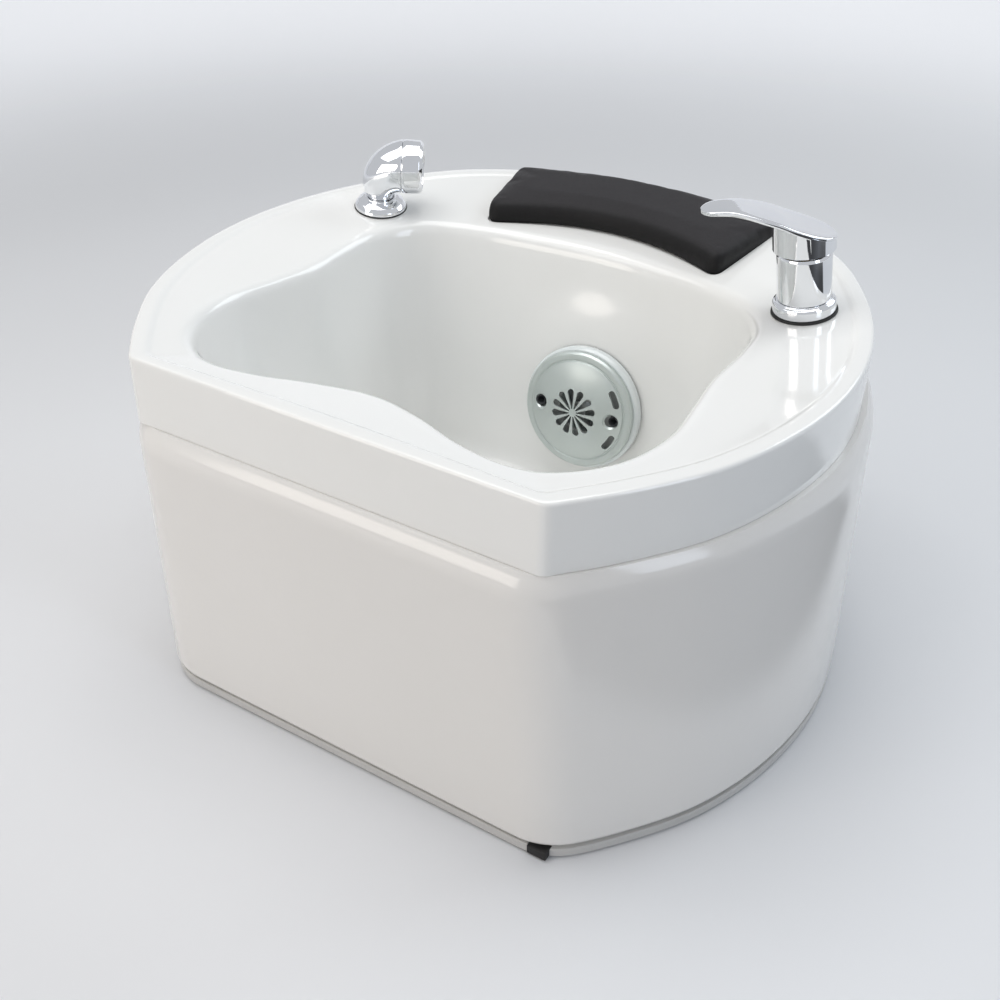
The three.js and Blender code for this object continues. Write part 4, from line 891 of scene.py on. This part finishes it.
ledge, brow, shoulder = plan_line(-15, -15), plan_line(0, 5.5), plan_line(8.5, 15)
foot, flange = plan_line(15, 12.5), plan_line(-14, -21)
TOP_Z, BOTTOM_Z, SHOULDER, FOOT = -64.3, -359.0, 23.0, 12.0
SHEET, INNER_FOOT = 4.0, 8.0
TURN_IN = FOOT + 22


def arc(start, end, steps):
    return [math.radians(a) for a in np.linspace(start, end, steps + 1)]


# %% Skirt
section = [(ledge, ledge, 0, TOP_Z), (brow, brow, 0, TOP_Z)]
for t in np.linspace(0.04, 1, 14).tolist():
    section.append((brow, shoulder, t * (1.75 - 0.75 * t), TOP_Z - SHOULDER * t * (0.7 + 0.3 * t)))
section += [(shoulder, foot, t, TOP_Z - SHOULDER + (BOTTOM_Z + FOOT + SHOULDER - TOP_Z) * t)
            for t in (0.2, 0.4, 0.6, 0.8)]
section += [(foot, flange, FOOT / TURN_IN * (1 - math.cos(a)), BOTTOM_Z + FOOT * (1 + math.sin(a)))
            for a in arc(0, -90, 9)]
section += [(flange, flange, 0, BOTTOM_Z), (flange, flange, 0, BOTTOM_Z + SHEET)]
section += [(foot, flange, (FOOT - INNER_FOOT * math.cos(a)) / TURN_IN,
             BOTTOM_Z + FOOT + INNER_FOOT * math.sin(a)) for a in arc(-90, 0, 4)]
section += [(shoulder, ledge, SHEET / 24, TOP_Z - SHOULDER), (shoulder, ledge, 0.27, TOP_Z - 14),
            (brow, ledge, 0.2, TOP_Z - 6), (brow, ledge, 0.3, TOP_Z - SHEET),
            (ledge, ledge, 0, TOP_Z - SHEET)]
keep(ring_body("skirt_skin", section), "skirt_white", "tub", "skirt_shell")

# %% Plinth with its cross-members
PLINTH_LOW, PLINTH_TOP = -368.5, -359.3
outer, inner = plan_line(14, 9.5), plan_line(-15, -22)
plinth = ring_body("plinth_ring", [
    (outer, inner, 1 / 30, PLINTH_LOW), (outer, inner, 0, PLINTH_LOW + 1),
    (outer, inner, 0, PLINTH_TOP - 1), (outer, inner, 1 / 30, PLINTH_TOP),
    (inner, inner, 0, PLINTH_TOP), (inner, inner, 0, PLINTH_LOW)])
mid_line = tub_outline(1, -6, 30)
for y in (184.15, 344.15):
    half = abs(reach(mid_line, math.atan2(y - HUB.y, HALF))[0].x)
    member = block("cross_member", (0, y, PLINTH_LOW + 2), (2 * half, 42, 7.2), TUB)
    worked(plinth, member, "UNION")
FOOT_AT = [(side * x + SKIRT_SHIFT.x, y) for side in (-1, 1)
           for x, y in ((153.81, -305.0), (222.46, 236.37))]
for x, y in FOOT_AT:
    worked(plinth, rod("foot_pocket", 13.3, 0.5, 6.5, Matrix.Translation((x, y, 0)), 48))
BLOCK_X, BLOCK_Y = CORNER[0] * HALF + 5, -10.0
gap_at = (BLOCK_X, BLOCK_Y + 6.15 - 15, PLINTH_LOW - 5)
worked(plinth, block("block_gap", gap_at, (19.6, 42.3, 30), TUB))
keep(plinth, "plinth_grey", "tub", "base_plinth")

# %% Rubber block and feet
rubber_block = block("joint_block", (BLOCK_X, BLOCK_Y + 0.3 + 6, PLINTH_LOW), (19, 12, 9.2), TUB)
soften = rubber_block.modifiers.new("soften", "BEVEL")
soften.width, soften.segments = 0.0008, 3
apply_modifiers(rubber_block)
keep(rubber_block, "rubber", "tub", "corner_block")
for (x, y), name in zip(FOOT_AT, ("front_left", "back_left", "front_right", "back_right")):
    rubber_foot = turned("rubber_foot_" + name, [(0, 0), (11.5, 0), (13, 1.5), (13, 6.2), (0, 6.2)],
                         Matrix.Translation((x, y, 0)), 64)
    keep(rubber_foot, "rubber", "tub", "foot_" + name)

# %% [markdown]
# ## The foot rest
# A block of foam on a board, covered in vinyl that is pulled tight over foam and board:
# the top is slightly crowned, the sides fall straight to the deck. A rounded section
# carried between the front and the back arc gives the cut foam. Then the cover is blown
# up a little as cloth, with the board's side held, which makes the tight, slightly
# swollen surface that a drawn shape never has.

# %% The foam before it is covered
def rounding(away, radius):
    """How far a round edge has drawn back, this far from the end."""
    return radius * (1 - math.sqrt(1 - max(0.0, 1 - away / radius) ** 2))


SECTION = [(0.02, 0.4), (0.0, 2.5), (-0.004, 8), (0.002, 13.5), (0.016, 18.5), (0.042, 22.2),
           (0.085, 24.4), (0.16, 25.3), (0.4, 25.8), (0.65, 25.8), (0.84, 25.2), (0.935, 24),
           (0.975, 21.2), (0.992, 16), (1.0, 8.0), (0.998, 2.5), (0.975, 0.4)]
UNDERSIDE, CROWN, COVER = SECTION[0][1], max(z for _, z in SECTION), 0.6


def cushion_rings(inset=0.0, sections=72, stations=90):
    """The section carried from end to end: a share of the depth, and a height."""
    scaled = through([(v * 100, z) for v, z in SECTION], True, sections)
    grown = COVER - inset
    rings = []
    for u in 0.5 - 0.5 * np.cos(np.linspace(0, math.pi, stations)):
        t = 1 - 2 * float(u)
        bow, away = 1 - t * t, (1 - abs(t)) * PAD_FRONT[0]
        front = Vector((t * (PAD_FRONT[0] + grown), PAD_FRONT[1] - grown + PAD_BOW[0] * bow))
        rear = Vector((t * (PAD_BACK[0] + grown), PAD_BACK[1] + grown + PAD_BOW[1] * bow))
        deep = (rear - front).length
        front, rear = (front.lerp(rear, rounding(away, 13) / deep),
                       rear.lerp(front, rounding(away, 3) / deep))
        high = 1 - (rounding(away, 8) + inset) / CROWN
        rings.append([(*front.lerp(rear, v / 100), UNDERSIDE + (z - UNDERSIDE) * high)
                      for v, z in scaled.tolist()])
    return rings


cushion = loft("foot_cushion", cushion_rings(0.8), PAD)
print("foam", len(cushion.data.polygons), "faces")

# %% The cover, blown up as cloth
def blown_up(piece, pressure=4.0, cap=0.0028, frames=20):
    """The piece remeshed and swollen as a cloth cover, with its underside held."""
    even = piece.modifiers.new("even", "REMESH")
    even.mode, even.voxel_size = "VOXEL", 0.004
    apply_modifiers(piece)
    local = (MM @ PAD).inverted()
    start = [v.co.copy() for v in piece.data.vertices]
    held = piece.vertex_groups.new(name="board")
    held.add([i for i, p in enumerate(start) if (local @ p).z < 6.0], 1.0, "REPLACE")
    cover = piece.modifiers.new("cover", "CLOTH")
    cover.settings.use_pressure, cover.settings.uniform_pressure_force = True, pressure
    cover.settings.vertex_group_mass = "board"
    cover.settings.effector_weights.gravity = 0
    cover.settings.tension_stiffness = cover.settings.compression_stiffness = 40
    cover.settings.quality = 6
    cover.point_cache.frame_start, cover.point_cache.frame_end = 1, frames
    for number in range(1, frames + 1):
        bpy.context.scene.frame_set(number)
    view = bpy.context.evaluated_depsgraph_get()
    moved = [v.co.copy() for v in piece.evaluated_get(view).data.vertices]
    piece.modifiers.clear()
    piece.vertex_groups.clear()
    bpy.context.scene.frame_set(1)
    for vertex, was, now in zip(piece.data.vertices, start, moved):
        step = now - was
        vertex.co = was + step * min(1.0, cap / max(step.length, 1e-9))
    furthest = max((now - was).length for now, was in zip(moved, start))
    print("cover moved", round(furthest * 1000, 1), "mm at most")


blown_up(cushion)
finer = cushion.modifiers.new("finer", "SUBSURF")
finer.levels = finer.render_levels = 1
apply_modifiers(cushion)
keep(cushion, "vinyl", "tub", "foot_rest_pad", "pad_board", sharp=60)

# %% [markdown]
# ## The mixer
# A chromed brass body on a black gasket: a stepped flange, a plain cylinder with a
# rounded top, and a lever whose cap covers the cartridge. Round parts are turned. The
# lever's blade is a loft: flat sections along a gently rising line, as broad as the cap
# above it and round at its tip. The cap is a cylinder cut off just under the blade.

# %% Mixer body
FINE = 128
keep(turned("mixer_ring", [(17.1, 0.3), (30.4, 0.3), (31, 1), (30.6, 2.6), (17.1, 2.6)],
            TAP, FINE, 0.3), "rubber", "tub", "mixer_gasket")
keep(turned("mixer_foot", [(17.1, 2.9), (29.4, 2.9), (29.4, 11), (28.4, 12.8), (26.6, 13.8),
                           (25.8, 15), (17.1, 15)], TAP, FINE, 0.6),
     "chrome", "tub", "mixer_flange")
keep(turned("mixer_column", [(0, 15.3), (25, 15.3), (25, 58), (24.2, 60.4), (22.6, 61.7),
                             (21, 62), (18.3, 62), (18.3, 24), (0, 24)], TAP, FINE, 0.7),
     "chrome", "tub", "mixer_body")


# %% The lever's blade
def blade(name, stations, at, around=64, along=150, round_side=0.22, round_top=0.3):
    """A loft of flattened sections: distance, middle of the top, width and thickness."""
    smooth = through(stations, False, along)
    rings = []
    for k, (x, top, wide, thick) in enumerate(smooth):
        a, b = smooth[max(0, k - 1)], smooth[min(along - 1, k + 1)]
        lean = math.atan2(b[1] - a[1], b[0] - a[0]) * 0.5
        ring = []
        for i in range(around):
            t = 2 * math.pi * (i + 0.5) / around
            c, s = math.cos(t), math.sin(t)
            y = 0.5 * wide * math.copysign(abs(c) ** round_side, c)
            z = 0.5 * thick * (math.copysign(abs(s) ** round_top, s) - 1) + 0.6
            ring.append((x - z * math.sin(lean), y, top + z * math.cos(lean)))
        rings.append(ring)
    return loft(name, rings, at)


STATIONS = [(-28.2, 74, 8, 5), (-26.4, 75, 22, 5.4), (-21.5, 77, 38, 5.6), (-12, 81, 51.5, 5.6),
            (0, 86.4, 57, 5.6), (12, 92, 57.4, 5.4), (25, 98.8, 55, 5.2), (40, 105, 51, 5),
            (54, 110, 43.5, 4.8), (67, 113, 35, 4.8), (79, 113.8, 30, 4.6),
            (84, 113.6, 25.5, 4.5), (87.4, 113.4, 19.5, 4.3), (89.6, 113.2, 13.5, 4),
            (91, 113.1, 8, 3.7), (91.6, 113.1, 4.4, 3.4)]

# %% The lever: cap and blade in one casting
lever = rod("lever_skin", 28.4, 64, 110, TAP, FINE)
under_blade = [[(x, y, z) for y, z in ((-40, 50), (40, 50), (40, top - 2.5), (-40, top - 2.5))]
               for x, top, *_ in [(-40, 66, 0), *STATIONS[:8]]]
worked(lever, loft("under_blade", under_blade, TAP), "INTERSECT")
cap_room = [(0, 60), (26.5, 60), (26.5, 68), (22, 73), (0, 73)]
worked(lever, turned("cap_room", cap_room, TAP, FINE, 0))
worked(lever, blade("blade", STATIONS, TAP), "UNION")
worked(lever, block("spindle_room", (0, 0, 60), (8.8, 8.8, 19), TAP))
keep(lever, "chrome", "lever", "lever_handle", sharp=30)

# %% [markdown]
# ## The hand shower
# The handset stands in a chromed collar and turns in one fat elbow from its neck to its
# head: circles that fan round a pivot in the bend. The head ends in a screwed-on ring,
# and the face plate carries rings of small rubber nozzles. The nozzles repeat by a
# rule, so Geometry Nodes set them: circles of points, one nozzle on each.

# %% Collar, handset and head
keep(turned("shower_ring", [(15.5, 0.3), (28.7, 0.3), (29.3, 0.8), (28.9, 1.5), (15.5, 1.5)],
            SHOWER, FINE, 0.25), "rubber", "tub", "shower_gasket")
keep(turned("shower_collar", [(15.5, 1.8), (28.6, 1.8), (28, 5), (24.5, 9), (20, 11.6),
                              (16.8, 12.5), (16.2, 13.2), (14.5, 13.2), (14.5, 6.3), (15.5, 6.3)],
            SHOWER, FINE, 0.5), "chrome", "tub", "shower_flange")
HEAD_TURN = SHOWER @ Matrix.Rotation(math.radians(65), 4, "Z")
HEAD = HEAD_TURN @ Matrix.Translation((18, 0, 50)) @ Matrix.Rotation(math.pi / 2, 4, "Y")
PIVOT = Vector((22.5, 0, 14))


def ring_round(middle, across, radius):
    """A circle about a middle; across is the direction in the plane of the bend."""
    turn = [2 * math.pi * i / 96 for i in range(96)]
    level = Vector((0, 1, 0))
    return [middle + radius * (math.cos(a) * across + math.sin(a) * level) for a in turn]


neck = eased([(10.5, -30), (10.5, 6.6), (14, 6.6), (14, 12)], 0.8)
elbow = [ring_round(Vector((0, 0, p.y)), Vector((-1, 0, 0)), p.x) for p in neck]
for a in np.linspace(0, math.pi / 2, 31).tolist():
    across = Vector((-math.cos(a), 0, math.sin(a)))
    near, far = 8.5 - 0.5 * a / (math.pi / 2), 36.5 + 27.5 * (a / (math.pi / 2)) ** 0.8
    elbow.append(ring_round(PIVOT + across * (near + far) / 2, across, (far - near) / 2))
for x, radius in ((23.4, 28), (24, 27.4)):
    elbow.append(ring_round(Vector((x, 0, 50)), Vector((0, 0, 1)), radius))
handset = loft("handset_skin", elbow, HEAD_TURN)
worked(handset, rod("hose_hole", 6.8, -40, -22, HEAD_TURN, 48))
keep(handset, "chrome", "handset", "shower_handle", sharp=30)
keep(turned("head_ring", [(0, 6.3), (28, 6.3), (28.6, 10), (28, 25), (25, 28.5), (24, 28.5),
                          (24, 24), (0, 24)], HEAD, FINE, 0.7),
     "chrome", "handset", "spray_head", sharp=30)


# %% [markdown]
# A Geometry Nodes tree is built here in Python. It takes the plain face plate, lays out
# circles of points with named sizes, puts a nozzle on each point, and joins them on.

# %% Small helpers for trees
class Tree:
    """A Geometry Nodes tree with named inputs, built node by node."""

    def __init__(self, name, inputs):
        self.group = bpy.data.node_groups.new(name, "GeometryNodeTree")
        face = self.group.interface
        face.new_socket("Geometry", in_out="INPUT", socket_type="NodeSocketGeometry")
        self.ids = {}
        for label, kind, value in inputs:
            socket = face.new_socket(label, in_out="INPUT", socket_type="NodeSocket" + kind)
            if value is not None:
                socket.default_value = value
            self.ids[label] = socket.identifier
        face.new_socket("Geometry", in_out="OUTPUT", socket_type="NodeSocketGeometry")
        self.inputs = self.group.nodes.new("NodeGroupInput").outputs
        self.end = self.group.nodes.new("NodeGroupOutput")

    def node(self, kind, sockets=None, output=0, **settings):
        made = self.group.nodes.new(kind)
        for key, value in settings.items():
            setattr(made, key, value)
        for key, value in (sockets or {}).items():
            for one in value if isinstance(value, list) else [value]:
                if isinstance(one, bpy.types.NodeSocket):
                    self.group.links.new(one, made.inputs[key])
                else:
                    made.inputs[key].default_value = one
        return made.outputs[output]

    def finish_with(self, geometry, material):
        whole = self.node("GeometryNodeRealizeInstances", {"Geometry": geometry})
        painted = self.node("GeometryNodeSetMaterial", {"Geometry": whole, "Material": material})
        self.group.links.new(painted, self.end.inputs["Geometry"])

    def applied_to(self, piece, **values):
        """Gives a piece the tree's result as its own mesh, with no modifier left on it."""
        change = piece.modifiers.new(self.group.name, "NODES")
        change.node_group = self.group
        for label, value in values.items():
            change[self.ids[label]] = value
        apply_modifiers(piece)


def in_place(piece, at):
    """Moves a piece that was made round its own axis to its place on the tub."""
    piece.data.transform(MM @ at @ MM.inverted())
    return piece


# %% Rings of nozzles on the shower's face
rings_of_nozzles = Tree("nozzle_rings", [
    ("Rings", "Int", 3), ("Spacing", "Float", 0.0065), ("Height", "Float", 0.027),
    ("Nozzle", "Object", None)])
t = rings_of_nozzles
rows = t.node("GeometryNodeMeshLine", {"Count": t.inputs["Rings"], "Offset": (0, 0, 0)})
step = t.node("ShaderNodeMath", {0: t.node("GeometryNodeInputIndex"), 1: 1.0}, operation="ADD")
circle = t.node("GeometryNodeMeshCircle", {"Vertices": 12, "Radius": t.inputs["Spacing"]})
circles = t.node("GeometryNodeInstanceOnPoints", {
    "Points": rows, "Instance": circle,
    "Scale": t.node("ShaderNodeCombineXYZ", {0: step, 1: step, 2: 1.0}),
    "Rotation": t.node("ShaderNodeCombineXYZ", {2: t.node("ShaderNodeMath", {0: step, 1: 0.26},
                                                         operation="MULTIPLY")})})
spots = t.node("GeometryNodeSetPosition", {
    "Geometry": t.node("GeometryNodeRealizeInstances", {"Geometry": circles}),
    "Offset": t.node("ShaderNodeCombineXYZ", {2: t.inputs["Height"]})})
nozzle = t.node("GeometryNodeObjectInfo", {"Object": t.inputs["Nozzle"]}, output="Geometry")
studs_on = t.node("GeometryNodeInstanceOnPoints", {"Points": spots, "Instance": nozzle})
t.finish_with(t.node("GeometryNodeJoinGeometry", {"Geometry": [t.inputs["Geometry"], studs_on]}),
              FINISH["plastic"])
one_nozzle = turned("one_nozzle", [(0, -1.6), (1.1, -1.6), (0.8, 0.7), (0.35, 0.8), (0, 0.4)],
                    facets=12, ease=0)
face = turned("face_plate", [(0, 24.3), (23.7, 24.3), (23.7, 26.4), (12, 27.4), (0, 27.7)],
              facets=96, ease=0.4)
t.applied_to(face, Nozzle=one_nozzle, Height=0.0266)
bpy.data.objects.remove(one_nozzle)
keep(in_place(face, HEAD), "plastic", "handset", "spray_plate", sharp=30)

# %% [markdown]
# ## The water jet
# A housing in the back wall holds a pump wheel. A plated cover closes it: water is drawn
# in through twelve petals in its middle and comes back through two round nozzles. The
# petals stand on a circle, so Geometry Nodes cut them, one turned tool for each.

# %% Housing, gasket and diffuser
keep(turned("jet_ring", [(47, 1.3), (68, 1.3), (68, 2.6), (47, 2.6)], JET, FINE, 0.2),
     "rubber", "tub", "jet_gasket")
keep(turned("jet_bowl", [(3.4, -32), (45, -32), (45, 2.9), (69, 2.9), (69, 11), (66.5, 14),
                         (60, 14), (60, 6), (38, 6), (38, -27), (3.4, -27)], JET, FINE, 0.8),
     "jet_silver", "tub", "jet_housing", skin="clear_ring")
keep(turned("jet_disc", [(28, 6.3), (59.7, 6.3), (59.7, 9), (28, 9)], JET, FINE, 0.3),
     "plastic", "tub", "jet_diffuser")
NOZZLE_OUT = 45.0
for side, name in ((1, "right"), (-1, "left")):
    keep(turned("nozzle_" + name, [(3.6, 9.3), (8.6, 9.3), (8.6, 11), (5.6, 13), (5.6, 22),
                                   (4.6, 22), (3.6, 19)],
                JET @ Matrix.Translation((NOZZLE_OUT * side, 0, 0)), 48, 0.3),
         "dark_plastic", "tub", "jet_nozzle_" + name)


# %% The cover before it is pierced
def dome(r):
    return 32 - 10.5 * (r / 55) ** 2


cover_line = [(r, dome(r)) for r in (0, 8, 16, 24, 32, 40, 48, 55)]
cover_line += [(55.4, 20.0), (57, 20.0), (57.6, 20.9), (63, 20.5), (65, 18.5), (65, 14.3),
               (59.7, 14.3), (59.7, 9.6), (57.8, 9.6), (57.8, 18.2)]
cover_line += [(r, dome(r) - 2.2) for r in (55, 48, 40, 32, 24, 16, 8, 0)]
cover = turned("cover_skin", cover_line, facets=FINE, ease=0.5)


def petal_tool():
    """A teardrop: a narrow tip towards the middle, a round bulb outside."""
    bulb = [(22.6 + 3.9 * math.cos(a), 3.9 * math.sin(a))
            for a in np.linspace(-math.pi / 2, math.pi / 2, 13)]
    return plate("petal", [(4.5, -0.5), *bulb, (4.5, 0.5)], 0, 60)


def arc_slot(radius=50.0, half=0.14, width=6.6, steps=8):
    """A slot bent round the middle, with round ends."""
    spot = lambda r, a: Vector((r * math.cos(a), r * math.sin(a)))
    sweep = np.linspace(-half, half, steps + 1)
    end = [math.pi * k / steps for k in range(1, steps)]
    outline = [spot(radius + width / 2, a) for a in sweep]
    outline += [spot(radius, half) + spot(width / 2, half + a) for a in end]
    outline += [spot(radius - width / 2, a) for a in reversed(sweep)]
    outline += [spot(radius, -half) + spot(width / 2, math.pi - half + a) for a in end]
    return outline


# %% Petals, nozzle holes and slots
piercing = Tree("petal_ring", [
    ("Petals", "Int", 12), ("Petal", "Object", None), ("Holes", "Object", None)])
t = piercing
index = t.node("GeometryNodeInputIndex")
step = t.node("ShaderNodeMath", {0: 2 * math.pi, 1: t.inputs["Petals"]}, operation="DIVIDE")
half_on = t.node("ShaderNodeMath", {0: index, 1: 0.5}, operation="ADD")
turn = t.node("ShaderNodeMath", {0: half_on, 1: step}, operation="MULTIPLY")
spin = t.node("ShaderNodeCombineXYZ", {2: turn})
hubs = t.node("GeometryNodeMeshLine", {"Count": t.inputs["Petals"], "Offset": (0, 0, 0)})
petals = t.node("GeometryNodeInstanceOnPoints", {
    "Points": hubs, "Rotation": spin,
    "Instance": t.node("GeometryNodeObjectInfo", {"Object": t.inputs["Petal"]}, output="Geometry")})
holes = t.node("GeometryNodeObjectInfo", {"Object": t.inputs["Holes"]}, output="Geometry")
tools = t.node("GeometryNodeRealizeInstances", {
    "Geometry": t.node("GeometryNodeJoinGeometry", {"Geometry": [petals, holes]})})
cut = t.node("GeometryNodeMeshBoolean", {"Mesh 1": t.inputs["Geometry"], "Mesh 2": tools},
             operation="DIFFERENCE", solver="MANIFOLD")
t.finish_with(cut, FINISH["jet_silver"])
sunk = [(0, 0), (6.3, 0), (6.3, 22.4), (10, 26.6), (10, 60), (0, 60)]
holes_tool = turned("cover_holes", sunk, Matrix.Translation((NOZZLE_OUT, 0, 0)), 48, 0)
worked(holes_tool, turned("hole", sunk, Matrix.Translation((-NOZZLE_OUT, 0, 0)), 48, 0), "UNION")
for a in (30, -30):
    turned_by = Matrix.Rotation(math.radians(a), 4, "Z")
    worked(holes_tool, plate("slot", arc_slot(), 0, 60, turned_by), "UNION")
petal = petal_tool()
t.applied_to(cover, Petal=petal, Holes=holes_tool)
for tool in (petal, holes_tool):
    bpy.data.objects.remove(tool)
keep(in_place(cover, JET), "jet_silver", "jet_front", "jet_cover", sharp=30)

# %% [markdown]
# ## The drain
# A chromed flange on the sump's floor with a domed plug that pushes up to open. Both are
# turned; only their rounded edges matter, because they are seen from above.

# %% Flange and plug
keep(turned("drain_ring", [(19.5, -27), (22.5, -27), (22.5, 1.8), (34, 1.8), (33.5, 3),
                           (27.5, 4.6), (26.5, 4.6), (19.5, 2.2)], DRAIN, FINE, 0.4),
     "chrome", "tub", "drain_flange")
keep(turned("drain_cap", [(0, -22), (4, -22), (4, 1.8), (17, 1.8), (23, 3.9), (22.6, 5.2),
                          (16, 6.8), (0, 7.8)], DRAIN, FINE, 0.6),
     "chrome", "plug", "drain_plug")

# %% [markdown]
# ## What is hidden
# Nuts, washers, hoses and the pump are seen only from below or when a part is taken off.
# Their measured shapes are right as they are, so they stay and only get their finish.

# %% Finishes for the carried-over pieces
slots = {part["node"]: part["material_slot"] for part in frame["record"]["subparts"]}
for name, node in frame["nodes"].items():
    if not node.material_slots:
        node.data.materials.append(None)
    node.material_slots[0].material = FINISH[slots[name]]
print("finishes given to", len(slots), "nodes")
